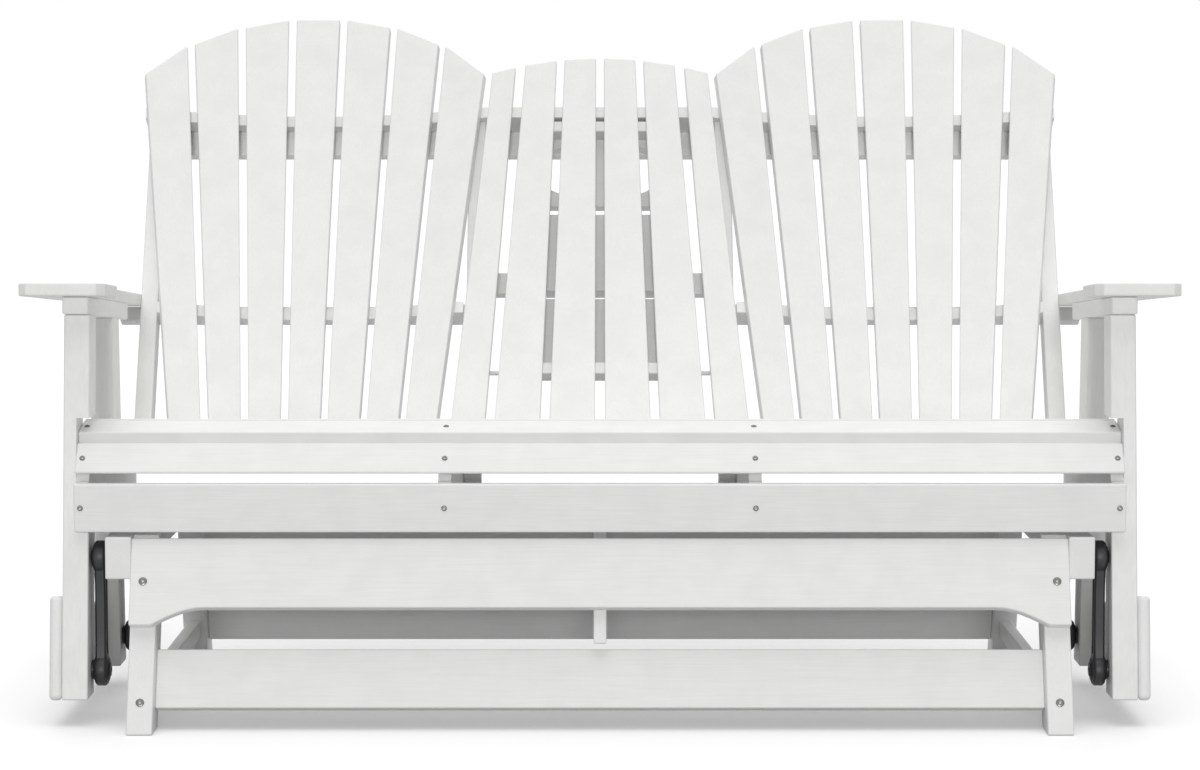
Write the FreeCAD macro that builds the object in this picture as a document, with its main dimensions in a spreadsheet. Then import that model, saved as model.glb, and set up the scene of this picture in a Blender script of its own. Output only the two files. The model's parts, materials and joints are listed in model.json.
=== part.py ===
import FreeCAD, Part
import os
import Sketcher

# Glider loveseat of extruded poly lumber. X runs across the seat, the front faces -Y and Z is up.
# The seat hangs from the base on four link arms, and the middle of the back folds down as a console.

# Driving dimensions in millimetres and degrees
SIZES = {
    # stock
    "board_thick": 19,
    "post_wide": 38,
    "post_deep": 64,
    "eased_edge": 2.5,
    # the middle of the depth lies this far behind the face of the apron slat
    "depth_middle": 400.53,
    # seat frame
    "seat_half": 768,
    "inner_support_out": 237,
    "support_raise": 4,
    "support_past_back": 18,
    # front of the seat: apron slat, lower nose slat and nose slat
    "apron_slat_low": 286,
    "apron_slat_tall": 71,
    "low_nose_y": 11.9,
    "low_nose_rise": 13.6,
    "low_nose_tilt": 36.8,
    "low_nose_wide": 53.5,
    "nose_step": 9.4,
    "nose_rise": 14.6,
    "nose_tilt": 12,
    "nose_wide": 58,
    "nose_screw_up": 28,
    # rear seat slats, and the depth from the nose to the back
    "seat_step": 2.2,
    "seat_slope": 8.5,
    "seat_slat_wide": 64,
    "seat_slat_gap": 8,
    "seat_deep": 411.87,
    # posts, arms and side boards
    "front_post_lean": 6.9,
    "front_post_y": -16.5,
    "rear_post_lean": 4.3,
    "rear_post_y": 341,
    "front_post_below": 38,
    "rear_post_below": 45,
    "housing_drop": 2,
    "housing_clear": 2.5,
    "nose_clear": 10,
    "arm_slope": 4.7,
    "arm_front_y": 18,
    "arm_rise": 363.5,
    "arm_over": 62,
    "arm_inside": 27,
    "arm_rear_over": 13,
    "arm_long": 676,
    "arm_step": 137,
    "arm_corner": 12,
    "arm_rail_y": 43,
    "arm_rail_long": 424,
    "arm_rail_tall": 26,
    "side_board_below": 39,
    "side_board_tall": 153,
    "side_board_long": 425,
    "side_board_fall": 9.5,
    "side_board_round": 7,
    # back frame: its plane lies on the faces of the uprights
    "back_drop": 18.49,
    "recline": 27.5,
    "upright_wide": 28,
    "upright_deep": 38,
    "upright_low": -105,
    "outer_upright_low": -72,
    "rail_top": 535,
    "upper_rail_tall": 44,
    "lower_rail_tall": 25.8,
    "rail_under_arm": 0.6,
    "lower_support_low": 181.5,
    "foot_support_low": -31,
    "mid_rail_low": 236.5,
    "mid_rail_tall": 38,
    "centre_forward": 14,
    # fan backs
    "fan_middle": 476,
    "fan_low": -45,
    "fan_top": 729.5,
    "fan_inner_margin": 42.4,
    "fan_outer_margin": 29.3,
    "fan_spread": 23.7,
    "fan_gap_low": 12.5,
    "fan_gap_top": 14.2,
    "fan_arc": 434,
    "fan_scoop": 20,
    "fan_curve": 2.7,
    # middle of the back
    "centre_top": 636.5,
    "centre_low": -20,
    "centre_arc": 592,
    "fixed_over": 4.7,
    "fixed_wide_low": 55.5,
    "fixed_wide_top": 38.8,
    "fixed_gap_top": 8.8,
    "console_gap_low": 17.2,
    "console_gap_top": 16,
    "slat_gap_low": 14.7,
    "slat_gap_top": 13,
    "inner_slat_in_low": 8,
    "inner_slat_in_top": 6.5,
    # folding console
    "fold_clear": 0.3,
    "console_clear": 66,
    "console_top": 528,
    "cup_board_low": 386,
    "middle_board_low": 233,
    "lower_board_low": 100,
    "board_gap": 14,
    "cup_radius": 44,
    "cup_shift": 3.5,
    "cup_z": 453,
    "block_low": 72,
    "block_tall": 20,
    "pin_radius": 3.5,
    "pin_behind": 9,
    # base
    "base_clear": 7,
    "leg_tilt": 21.3,
    "front_leg_y": -79,
    "rear_leg_y": 640,
    "rail_tall": 62,
    "rail_front": 0,
    "rail_long": 596,
    "apron_drop": 2,
    "apron_tall": 121.5,
    "rear_apron_drop": 3,
    "apron_arch": 26,
    "arch_inset": 32,
    "arch_run": 77,
    "stretcher_low": 34,
    "rear_stretcher_drop": 9,
    "stretcher_tall": 81.5,
    "stretcher_back": 24,
    "low_rail_tall": 28.5,
    "centre_rail_drop": 11,
    "centre_rail_clear": 3.6,
    # glide linkage
    "pivot_drop": 33.5,
    "link_long": 167.5,
    "front_pivot_y": 38,
    "rear_pivot_y": 368,
    "eye_radius": 24,
    "eye_thick": 20,
    "bar_thick": 16,
    "rear_bar_thick": 12,
    "bar_wide": 30,
    "bolt_radius": 5,
    "bolt_clear": 0.1,
    "sleeve_radius": 10,
    "flange_radius": 17,
    "flange_thick": 0.9,
    "washer_radius": 14,
    "bolt_head_radius": 11,
    "bolt_head_tall": 2.4,
    "running_gap": 0.4,
    "post_gap": 1,
    # screws
    "base_screw_head_radius": 6.2,
    "seat_screw_head_radius": 4.2,
    "screw_head_tall": 1.6,
    "screw_radius": 2.4,
    "screw_long": 32,
}

# Lengths that follow from the driving dimensions
TIED = {
    # across the seat
    "support_in": "seat_half - board_thick",
    "inner_support_in": "inner_support_out - board_thick",
    "post_out": "support_in + post_wide",
    "arm_out": "post_out + arm_over",
    "arm_in": "support_in - arm_inside",
    "arm_rear_out": "post_out + arm_rear_over",
    # the linkage fills the space between the base and the posts
    "link_out": "support_in - post_gap - bolt_head_tall - running_gap - flange_thick",
    "link_in": "link_out - eye_thick",
    "rail_out": "link_in - flange_thick - running_gap",
    "leg_out": "rail_out - post_wide",
    "leg_in": "leg_out - post_wide",
    "arch_end": "leg_out - arch_inset",
    "arch_flat": "arch_end - arch_run",
    # the seat and its back rise from the apron slat
    "apron_slat_top": "apron_slat_low + apron_slat_tall",
    "support_bottom": "apron_slat_low + support_raise",
    "low_nose_z": "apron_slat_top + low_nose_rise",
    "nose_y": "low_nose_y + low_nose_wide * sin(low_nose_tilt) + nose_step",
    "nose_z": "low_nose_z + low_nose_wide * cos(low_nose_tilt) + nose_rise",
    "seat_y": "nose_y + board_thick * sin(nose_tilt) + nose_wide * cos(nose_tilt)",
    "seat_z": "nose_z - board_thick * cos(nose_tilt) + nose_wide * sin(nose_tilt) + seat_step",
    "back_y": "seat_y + seat_deep",
    "back_z": "seat_z - back_drop",
    "support_rear": "back_y + support_past_back",
    # the base lies under the seat
    "side_rail_top": "apron_slat_low - base_clear",
    "rail_low": "side_rail_top - rail_tall",
    "apron_top": "side_rail_top - apron_drop",
    "apron_low": "apron_top - apron_tall",
    "centre_rail_top": "side_rail_top - centre_rail_drop",
    "centre_rail_low": "stretcher_low + stretcher_tall + board_thick * sin(leg_tilt) + centre_rail_clear",
    "pivot_top": "side_rail_top - pivot_drop",
    "pivot_low": "pivot_top - link_long",
    # posts, arms and side boards
    "front_post_low": "pivot_low - front_post_below",
    "rear_post_low": "pivot_low - rear_post_below",
    "side_board_low": "pivot_low - side_board_below",
    "housing_low": "apron_slat_low - housing_drop",
    "nose_top": "nose_z + nose_wide * sin(nose_tilt) + nose_clear",
    "seat_top": "seat_z + board_thick / cos(seat_slope)",
    "arm_front_top": "apron_slat_low + arm_rise",
    "arm_under": "arm_front_top - board_thick / cos(arm_slope)",
    # the lower rails of the back meet the arms from below
    "rail_face_y": "back_y + upright_deep * cos(recline) - arm_front_y",
    "rail_face_z": "back_z - upright_deep * sin(recline)",
    "rail_reach": "(arm_under - rail_face_y * tan(arm_slope) - rail_face_z)",
    "rail_turn": "(cos(recline) + sin(recline) * tan(arm_slope))",
    "lower_rail_top": "rail_reach / rail_turn - rail_under_arm",
    "lower_rail_low": "lower_rail_top - lower_rail_tall",
    # three fan slats and a half fill the bay on each side of the fan's middle
    "fan_inner_edge": "inner_support_in + fan_inner_margin",
    "fan_outer_edge": "support_in - upright_wide - fan_outer_margin",
    "fan_inner_pitch": "(fan_middle - fan_inner_edge + fan_gap_low / 2) / 3.5",
    "fan_outer_pitch": "(fan_outer_edge - fan_middle + fan_gap_low / 2) / 3.5",
    # the middle of the back fills the space between the fans
    "centre_part": "(centre_top - fan_low) / (fan_top - fan_low)",
    "centre_pitch": "fan_inner_pitch + fan_spread * centre_part",
    "centre_gap": "fan_gap_low + (fan_gap_top - fan_gap_low) * centre_part",
    "fixed_slat_out_low": "inner_support_out + fixed_over",
    "fixed_slat_in_low": "fixed_slat_out_low - fixed_wide_low",
    "fixed_slat_out_top": "fan_middle - 3.5 * centre_pitch + centre_gap / 2 - fixed_gap_top",
    "fixed_slat_in_top": "fixed_slat_out_top - fixed_wide_top",
    "outer_slat_out_low": "fixed_slat_in_low - console_gap_low",
    "outer_slat_out_top": "fixed_slat_in_top - console_gap_top",
    "console_slat_low": "(outer_slat_out_low - inner_slat_in_low - slat_gap_low) / 2",
    "console_slat_top": "(outer_slat_out_top - inner_slat_in_top - slat_gap_top) / 2",
    "inner_slat_out_low": "inner_slat_in_low + console_slat_low",
    "inner_slat_out_top": "inner_slat_in_top + console_slat_top",
    "outer_slat_in_low": "outer_slat_out_low - console_slat_low",
    "outer_slat_in_top": "outer_slat_out_top - console_slat_top",
    "console_half": "inner_support_in - upright_wide - console_clear",
    "cup_x": "(console_half - board_thick) / 2 + cup_shift",
}

doc = FreeCAD.newDocument("glider_loveseat")
sheet = doc.addObject("Spreadsheet::Sheet", "dims")
cells = [(alias, str(value)) for alias, value in SIZES.items()]
cells += [(alias, f"={formula}") for alias, formula in TIED.items()]
for row, (alias, content) in enumerate(cells, start=1):
    sheet.setAlias(f"A{row}", alias)
for row, (alias, content) in enumerate(cells, start=1):
    sheet.set(f"A{row}", content)
doc.recompute()

NODES = []
SIDES = (("left", -1), ("right", 1))


class Names:
    """Gives the spreadsheet reference of each named length as an attribute."""

    def __getattr__(self, alias):
        if alias not in SIZES and alias not in TIED:
            raise AttributeError(alias)
        return f"dims.{alias}"


D = Names()


def moved(x, y, z):
    """Text of a placement that only moves."""
    return f"placement(vector({x}; {y}; {z}); rotationx(0))"


def turned(rotation):
    """Text of a placement that only turns."""
    return f"placement(vector(0; 0; 0); {rotation})"


FRAME = moved("0", f"-{D.depth_middle}", "0")
BACK = f"{FRAME} * placement(vector(0; {D.back_y}; {D.back_z}); rotationx(-{D.recline}))"
STAND = turned("rotationx(90)")
PROFILE = turned("rotationz(90) * rotationx(90)")


def outline(body, name, points):
    """Closed sketch of straight lines whose corners follow the spreadsheet."""
    sketch = body.newObject("Sketcher::SketchObject", name)
    plane = next(item for item in body.Origin.OriginFeatures if item.Role == "XY_Plane")
    sketch.AttachmentSupport = [(plane, "")]
    sketch.MapMode = "FlatFace"
    corners = [FreeCAD.Vector(value_of(x), value_of(y), 0) for x, y in points]
    count = len(corners)
    for index in range(count):
        sketch.addGeometry(Part.LineSegment(corners[index], corners[(index + 1) % count]), False)
    for index in range(count):
        sketch.addConstraint(Sketcher.Constraint("Coincident", index, 2, (index + 1) % count, 1))
    for index, (x, y) in enumerate(points):
        for kind, text, place in (("DistanceX", x, corners[index].x), ("DistanceY", y, corners[index].y)):
            number = sketch.addConstraint(Sketcher.Constraint(kind, -1, 1, index, 1, place))
            sketch.setExpression(f"Constraints[{number}]", text)
    return sketch


def value_of(text):
    """Number that a spreadsheet formula gives."""
    result = sheet.evalExpression(text)
    return float(getattr(result, "Value", result))


def board(name, points, thick, place, eased=D.eased_edge, listed=True):
    """One board: an outline padded to its thickness, with its edges eased by a radius, at its place."""
    body = doc.addObject("PartDesign::Body", name)
    sketch = outline(body, f"{name}_outline", points)
    pad = body.newObject("PartDesign::Pad", f"{name}_pad")
    pad.Profile = sketch
    pad.setExpression("Length", thick)
    if eased:
        doc.recompute()
        rounding = body.newObject("PartDesign::Fillet", f"{name}_eased")
        rounding.Base = (pad, ["Edge1"])
        rounding.UseAllEdges = True
        rounding.setExpression("Radius", eased)
    body.setExpression("Placement", place)
    if listed:
        NODES.append((name, body))
    return body


def span(side, near, far):
    """Lower and upper X of a piece that lies between two distances from the middle, on one side."""
    if side > 0:
        return near, far
    return f"-({far})", f"-({near})"


def rectangle(x_low, x_high, y_low, y_high):
    """Corners of a rectangle."""
    return [(x_low, y_low), (x_high, y_low), (x_high, y_high), (x_low, y_high)]


def cylinder(name, radius, length, place):
    """Round bar or bore along its own Z."""
    bar = doc.addObject("Part::Cylinder", name)
    bar.setExpression("Radius", radius)
    bar.setExpression("Height", length)
    bar.setExpression("Placement", place)
    return bar


def block(name, x_long, y_long, z_long, place):
    """Plain block from its own corner."""
    shape = doc.addObject("Part::Box", name)
    shape.setExpression("Length", x_long)
    shape.setExpression("Width", y_long)
    shape.setExpression("Height", z_long)
    shape.setExpression("Placement", place)
    return shape


def cut(name, base, tools, listed=True):
    """Base piece with the tools taken out of it."""
    taken = tools[0]
    if len(tools) > 1:
        taken = doc.addObject("Part::MultiFuse", f"{name}_tools")
        taken.Shapes = tools
    result = doc.addObject("Part::Cut", name)
    result.Base = base
    result.Tool = taken
    if listed:
        NODES.append((name, result))
    return result


def fused(name, pieces):
    """One solid made of several that meet."""
    result = doc.addObject("Part::MultiFuse", name)
    result.Shapes = pieces
    result.Refine = True
    return result


def group(name, pieces):
    """Separate solids that share one node."""
    result = doc.addObject("Part::Compound", name)
    result.Links = pieces
    NODES.append((name, result))
    return result


def along_x(x, y, z):
    """Place of a round bar whose axis runs across the seat, starting at a point."""
    return f"{FRAME} * placement(vector({x}; {y}; {z}); rotationy(90))"


# Places and lines that several pieces share
ARM_FRAME = (
    f"{FRAME} * placement(vector(0; {D.arm_front_y}; {D.arm_front_top}); rotationx(-{D.arm_slope}))"
)
FRONT_LEG_FRAME = f"{FRAME} * placement(vector(0; {D.front_leg_y}; 0); rotationx(-{D.leg_tilt}))"
REAR_LEG_FRAME = f"{FRAME} * placement(vector(0; {D.rear_leg_y}; 0); rotationx({D.leg_tilt}))"
LEG_DEEP = f"({D.post_deep} / cos({D.leg_tilt}))"
SCREWS = {"base": [], "seat": []}


def screw(group_name, place, x, y, thick):
    """Pan-head screw driven square into a board at a point of its outline."""
    number = len(SCREWS[group_name]) + 1
    name = f"{group_name}_screw_{number}"
    seat = f"{place} * {moved(x, y, thick)}"
    shank_place = f"{seat} * {moved('0', '0', '-' + D.screw_long)}"
    whole_long = f"{D.screw_long} + {D.screw_head_tall}"
    head_radius = {"base": D.base_screw_head_radius, "seat": D.seat_screw_head_radius}[group_name]
    head = cylinder(f"{name}_head", head_radius, D.screw_head_tall, seat)
    shank = cylinder(f"{name}_shank", D.screw_radius, whole_long, shank_place)
    SCREWS[group_name].append(fused(name, [head, shank]))


def seat_screws(place, y):
    """Screws where a seat slat crosses the four supports."""
    outer = f"({D.seat_half} - {D.board_thick} / 2)"
    inner = f"({D.inner_support_out} - {D.board_thick} / 2)"
    for x in (f"-{outer}", f"-{inner}", inner, outer):
        screw("seat", place, x, y, D.board_thick)


# Base: legs, aprons, stretchers and side rails
def base_legs():
    """Four splayed legs and the level rails that tie them front to back."""
    slope = f"tan({D.leg_tilt})"
    rail_high = D.side_rail_top
    low_high = f"({D.stretcher_low} + {D.low_rail_tall})"
    for side_name, side in SIDES:
        leg_x = span(side, D.leg_in, D.leg_out)[0]
        place = f"{FRAME} * {moved(leg_x, '0', '0')} * {PROFILE}"
        front_top = f"{D.front_leg_y} + {rail_high} * {slope}"
        front = [
            (D.front_leg_y, "0"),
            (f"{D.front_leg_y} + {LEG_DEEP}", "0"),
            (f"{front_top} + {LEG_DEEP}", rail_high),
            (front_top, rail_high),
        ]
        board(f"base_front_leg_{side_name}", front, D.post_wide, place)
        rear_top = f"{D.rear_leg_y} - {rail_high} * {slope}"
        rear = [
            (D.rear_leg_y, "0"),
            (f"{D.rear_leg_y} + {LEG_DEEP}", "0"),
            (f"{rear_top} + {LEG_DEEP}", rail_high),
            (rear_top, rail_high),
        ]
        board(f"base_rear_leg_{side_name}", rear, D.post_wide, place)
        low = [
            (f"{D.front_leg_y} + {LEG_DEEP} + {D.stretcher_low} * {slope}", D.stretcher_low),
            (f"{D.rear_leg_y} - {D.stretcher_low} * {slope}", D.stretcher_low),
            (f"{D.rear_leg_y} - {low_high} * {slope}", low_high),
            (f"{D.front_leg_y} + {LEG_DEEP} + {low_high} * {slope}", low_high),
        ]
        rail_in = f"({D.leg_in} + ({D.post_wide} - {D.board_thick}) / 2)"
        rail_x = span(side, rail_in, f"({rail_in} + {D.board_thick})")[0]
        low_place = f"{FRAME} * {moved(rail_x, '0', '0')} * {PROFILE}"
        board(f"base_lower_rail_{side_name}", low, D.board_thick, low_place)


def base_cross_boards():
    """Aprons on the outer faces of the legs, stretchers between them and the centre rail."""
    sine = f"sin({D.leg_tilt})"
    cosine = f"cos({D.leg_tilt})"
    low = f"(({D.apron_low} - {D.board_thick} * {sine}) / {cosine})"
    high = f"({low} + ({D.apron_top} - {D.apron_low}) / {cosine})"
    steps = 6
    rise = []
    for step in range(steps + 1):
        part = step / steps
        x = f"({D.arch_end} - {D.arch_run} * {part})"
        rise.append((x, f"({low} + {D.apron_arch} * sin(90 * {part}))"))
    right = [(D.leg_out, low)] + rise
    points = [(f"-{x}", y) for x, y in right] + right[::-1]
    points += [(D.leg_out, high), (f"-{D.leg_out}", high)]
    front_place = f"{FRONT_LEG_FRAME} * {STAND}"
    board("base_front_apron", points, D.board_thick, front_place)
    rear_low = f"(({D.apron_low} - {D.rear_apron_drop} - {D.post_deep} * {sine}) / {cosine})"
    rear_high = f"({rear_low} + ({D.apron_top} - {D.apron_low}) / {cosine})"
    rear_inset = moved("0", f"({D.post_deep} + {D.board_thick})", "0")
    points = rectangle(f"-{D.leg_out}", D.leg_out, rear_low, rear_high)
    board("base_rear_apron", points, D.board_thick, f"{REAR_LEG_FRAME} * {rear_inset} * {STAND}")
    inset = moved("0", f"({D.stretcher_back} + {D.board_thick})", "0")
    tall = f"({D.stretcher_tall} / {cosine})"
    back = f"{D.stretcher_back} * {sine}"
    front_foot = f"(({D.stretcher_low} + {back}) / {cosine})"
    rear_foot = f"(({D.stretcher_low} - {D.rear_stretcher_drop} - {back}) / {cosine})"
    stretchers = (("front", FRONT_LEG_FRAME, front_foot), ("rear", REAR_LEG_FRAME, rear_foot))
    for end, leg_frame, foot in stretchers:
        points = rectangle(f"-{D.leg_in}", D.leg_in, foot, f"({foot} + {tall})")
        board(f"base_{end}_stretcher", points, D.board_thick, f"{leg_frame} * {inset} * {STAND}")
    slope = f"tan({D.leg_tilt})"
    rear_face = f"({D.rear_leg_y} + {LEG_DEEP})"
    centre = [
        (f"{D.front_leg_y} + {D.centre_rail_low} * {slope}", D.centre_rail_low),
        (f"{rear_face} - {D.centre_rail_low} * {slope}", D.centre_rail_low),
        (f"{rear_face} - {D.centre_rail_top} * {slope}", D.centre_rail_top),
        (f"{D.front_leg_y} + {D.centre_rail_top} * {slope}", D.centre_rail_top),
    ]
    centre_place = f"{FRAME} * {moved(f'-{D.board_thick} / 2', '0', '0')} * {PROFILE}"
    board("base_centre_rail", centre, D.board_thick, centre_place)
    leg_middle = f"({D.leg_in} + {D.post_wide} / 2)"
    apron_middle = f"(({low} + {high}) / 2)"
    leg_screw = f"({D.stretcher_low} / cos({D.leg_tilt}) + {D.base_screw_head_radius} * 2)"
    for x in (f"-{leg_middle}", leg_middle):
        screw("base", front_place, x, apron_middle, D.board_thick)
        screw("base", front_place, x, leg_screw, "0")


def base_pivots():
    """Upper side rails, and the bolts in them that the link arms hang from."""
    bolts = []
    for side_name, side in SIDES:
        x_low = span(side, D.leg_out, D.rail_out)[0]
        y_high = f"({D.rail_front} + {D.rail_long})"
        points = rectangle(D.rail_front, y_high, D.rail_low, D.side_rail_top)
        place = f"{FRAME} * {moved(x_low, '0', '0')} * {PROFILE}"
        blank = board(f"base_upper_rail_{side_name}_blank", points, D.post_wide, place, listed=False)
        bores = []
        for end, y in (("front", D.front_pivot_y), ("rear", D.rear_pivot_y)):
            head_near = f"({D.link_out} + {D.flange_thick} + {D.running_gap})"
            head_far = f"({head_near} + {D.bolt_head_tall})"
            name = f"base_pivot_bolt_{end}_{side_name}"
            shaft_x = span(side, D.leg_out, head_far)[0]
            shaft_long = f"({head_far} - {D.leg_out})"
            shaft_place = along_x(shaft_x, y, D.pivot_top)
            shaft = cylinder(f"{name}_shaft", D.bolt_radius, shaft_long, shaft_place)
            head_x = span(side, head_near, head_far)[0]
            head_place = along_x(head_x, y, D.pivot_top)
            head = cylinder(f"{name}_head", D.bolt_head_radius, D.bolt_head_tall, head_place)
            bolts.append(fused(name, [shaft, head]))
            bores.append(shaft)
        cut(f"base_upper_rail_{side_name}", blank, bores)
    group("base_pivot_bolts", bolts)


# Link arms with a flanged bearing in each eye
def links(end, y, bar_thick, bar_near):
    """The pair of arms at one end of the seat, and their bearings."""
    bearings = []
    for side_name, side in SIDES:
        name = f"{end}_link_{side_name}"
        eye_x = span(side, D.link_in, D.link_out)[0]
        eyes = []
        bores = []
        for level, z in (("low", D.pivot_low), ("top", D.pivot_top)):
            eye_place = along_x(eye_x, y, z)
            eyes.append(cylinder(f"{name}_{level}_eye", D.eye_radius, D.eye_thick, eye_place))
            bores.append(cylinder(f"{name}_{level}_bore", D.sleeve_radius, D.eye_thick, eye_place))
            sleeve_near = f"({D.link_in} - {D.flange_thick})"
            sleeve_far = f"({D.link_out} + {D.flange_thick})"
            sleeve_x = span(side, sleeve_near, sleeve_far)[0]
            whole_long = f"({D.eye_thick} + 2 * {D.flange_thick})"
            sleeve_place = along_x(sleeve_x, y, z)
            sleeve = cylinder(f"{name}_{level}_sleeve", D.sleeve_radius, whole_long, sleeve_place)
            flanges = []
            for edge, near in (("in", sleeve_near), ("out", D.link_out)):
                flange_x = span(side, near, f"({near} + {D.flange_thick})")[0]
                flange_place = along_x(flange_x, y, z)
                flange_name = f"{name}_{level}_flange_{edge}"
                flanges.append(cylinder(flange_name, D.flange_radius, D.flange_thick, flange_place))
            solid = fused(f"{name}_{level}_bush", [sleeve] + flanges)
            hole_radius = f"({D.bolt_radius} + {D.bolt_clear})"
            hole = cylinder(f"{name}_{level}_hole", hole_radius, whole_long, sleeve_place)
            bearings.append(cut(f"{name}_{level}_bearing", solid, [hole], listed=False))
        bar_x = span(side, bar_near, f"({bar_near} + {bar_thick})")[0]
        bar_place = f"{FRAME} * {moved(bar_x, f'({y} - {D.bar_wide} / 2)', D.pivot_low)}"
        bar = block(f"{name}_bar", bar_thick, D.bar_wide, D.link_long, bar_place)
        cut(name, fused(f"{name}_blank", eyes + [bar]), bores)
    group(f"{end}_link_bearings", bearings)


# Seat frame: supports, slats, posts, arms and side boards
def seat_supports():
    """Four shaped boards on edge that carry the seat slats and the back."""
    low_cos = f"cos({D.low_nose_tilt})"
    low_sin = f"sin({D.low_nose_tilt})"
    low_y = f"({D.low_nose_y} + {D.board_thick} * {low_cos})"
    low_z = f"({D.low_nose_z} - {D.board_thick} * {low_sin})"
    nose_y = f"({D.nose_y} + {D.board_thick} * sin({D.nose_tilt}))"
    nose_z = f"({D.nose_z} - {D.board_thick} * cos({D.nose_tilt}))"
    rear_z = f"({D.seat_z} - ({D.support_rear} - {D.seat_y}) * tan({D.seat_slope}))"
    points = [
        (D.board_thick, D.support_bottom),
        (D.support_rear, D.support_bottom),
        (D.support_rear, rear_z),
        (D.seat_y, D.seat_z),
        (D.seat_y, f"({D.seat_z} - {D.seat_step})"),
        (nose_y, nose_z),
        (f"({low_y} + {D.low_nose_wide} * {low_sin})", f"({low_z} + {D.low_nose_wide} * {low_cos})"),
        (low_y, low_z),
        (D.board_thick, D.apron_slat_top),
    ]
    for side_name, side in SIDES:
        for which, far in (("outer", D.seat_half), ("inner", D.inner_support_out)):
            x_low = span(side, f"({far} - {D.board_thick})", far)[0]
            place = f"{FRAME} * {moved(x_low, '0', '0')} * {PROFILE}"
            board(f"{which}_support_{side_name}", points, D.board_thick, place, eased=None)


def low_nose_outline():
    """Side view of the lower nose slat, whose lower edge is cut level."""
    cosine = f"cos({D.low_nose_tilt})"
    sine = f"sin({D.low_nose_tilt})"
    top_y = f"({D.low_nose_y} + {D.low_nose_wide} * {sine})"
    top_z = f"({D.low_nose_z} + {D.low_nose_wide} * {cosine})"
    return [
        (D.low_nose_y, D.low_nose_z),
        (f"({D.low_nose_y} + {D.board_thick} / {cosine})", D.low_nose_z),
        (f"({top_y} + {D.board_thick} * {cosine})", f"({top_z} - {D.board_thick} * {sine})"),
        (top_y, top_z),
    ]


def seat_slats():
    """Apron slat, two nose slats and the rear slats of the seat."""
    across = (f"-{D.seat_half}", D.seat_half)
    to_face = moved("0", D.board_thick, "0")
    apron = f"{FRAME} * {to_face} * {STAND}"
    points = rectangle(*across, D.apron_slat_low, D.apron_slat_top)
    board("seat_apron_slat", points, D.board_thick, apron)
    seat_screws(apron, f"({D.apron_slat_low} + {D.apron_slat_tall} / 2)")
    low_turn = f"placement(vector(0; {D.low_nose_y}; {D.low_nose_z}); rotationx(-{D.low_nose_tilt}))"
    seat_screws(f"{FRAME} * {low_turn} * {to_face} * {STAND}", f"({D.low_nose_wide} / 2)")
    place = f"{FRAME} * {moved('-' + D.seat_half, '0', '0')} * {PROFILE}"
    board("seat_lower_nose_slat", low_nose_outline(), f"(2 * {D.seat_half})", place)
    nose_turn = f"placement(vector(0; {D.nose_y}; {D.nose_z}); rotationx(-(90 - {D.nose_tilt})))"
    place = f"{FRAME} * {nose_turn} * {to_face} * {STAND}"
    board("seat_nose_slat", rectangle(*across, "0", D.nose_wide), D.board_thick, place)
    seat_screws(place, D.nose_screw_up)
    turn = f"rotationx(-(90 + {D.seat_slope}))"
    place = f"{FRAME} * placement(vector(0; {D.seat_y}; {D.seat_z}); {turn}) * {STAND}"
    slats = []
    for index in range(5):
        low = f"({D.seat_slat_gap} + {index} * ({D.seat_slat_wide} + {D.seat_slat_gap}))"
        points = rectangle(*across, low, f"({low} + {D.seat_slat_wide})")
        slats.append(board(f"seat_slat_{index + 1}", points, D.board_thick, place, listed=False))
        seat_screws(place, f"({low} + {D.seat_slat_wide} / 2)")
    group("seat_slats", slats)


def post_outline(foot_y, lean, deep, low):
    """Side view of a post that meets the sloping arm rail."""
    slope = f"tan({D.arm_slope})"
    under_front = f"({D.arm_under} - {D.arm_rail_tall} / cos({D.arm_slope}))"
    points = [(f"({foot_y} + {low} * {lean})", low), (f"({foot_y} + {deep} + {low} * {lean})", low)]
    for y in (f"({foot_y} + {deep})", foot_y):
        top = f"(({under_front} - ({y} - {D.arm_front_y}) * {slope}) / (1 + {lean} * {slope}))"
        points.append((f"({y} + {top} * {lean})", top))
    return points


def housing_outline(foot_y, line):
    """Side view of a post's housing, under a line with a slope that clears the slats."""
    top_y, top_z, slope = line
    front = f"({foot_y} - 2 * {D.post_deep})"
    rear = f"({foot_y} + 3 * {D.post_deep})"
    points = [(front, D.housing_low), (rear, D.housing_low)]
    for y in (rear, front):
        points.append((y, f"({top_z} + ({y} - {top_y}) * tan({slope}))"))
    return points


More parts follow.
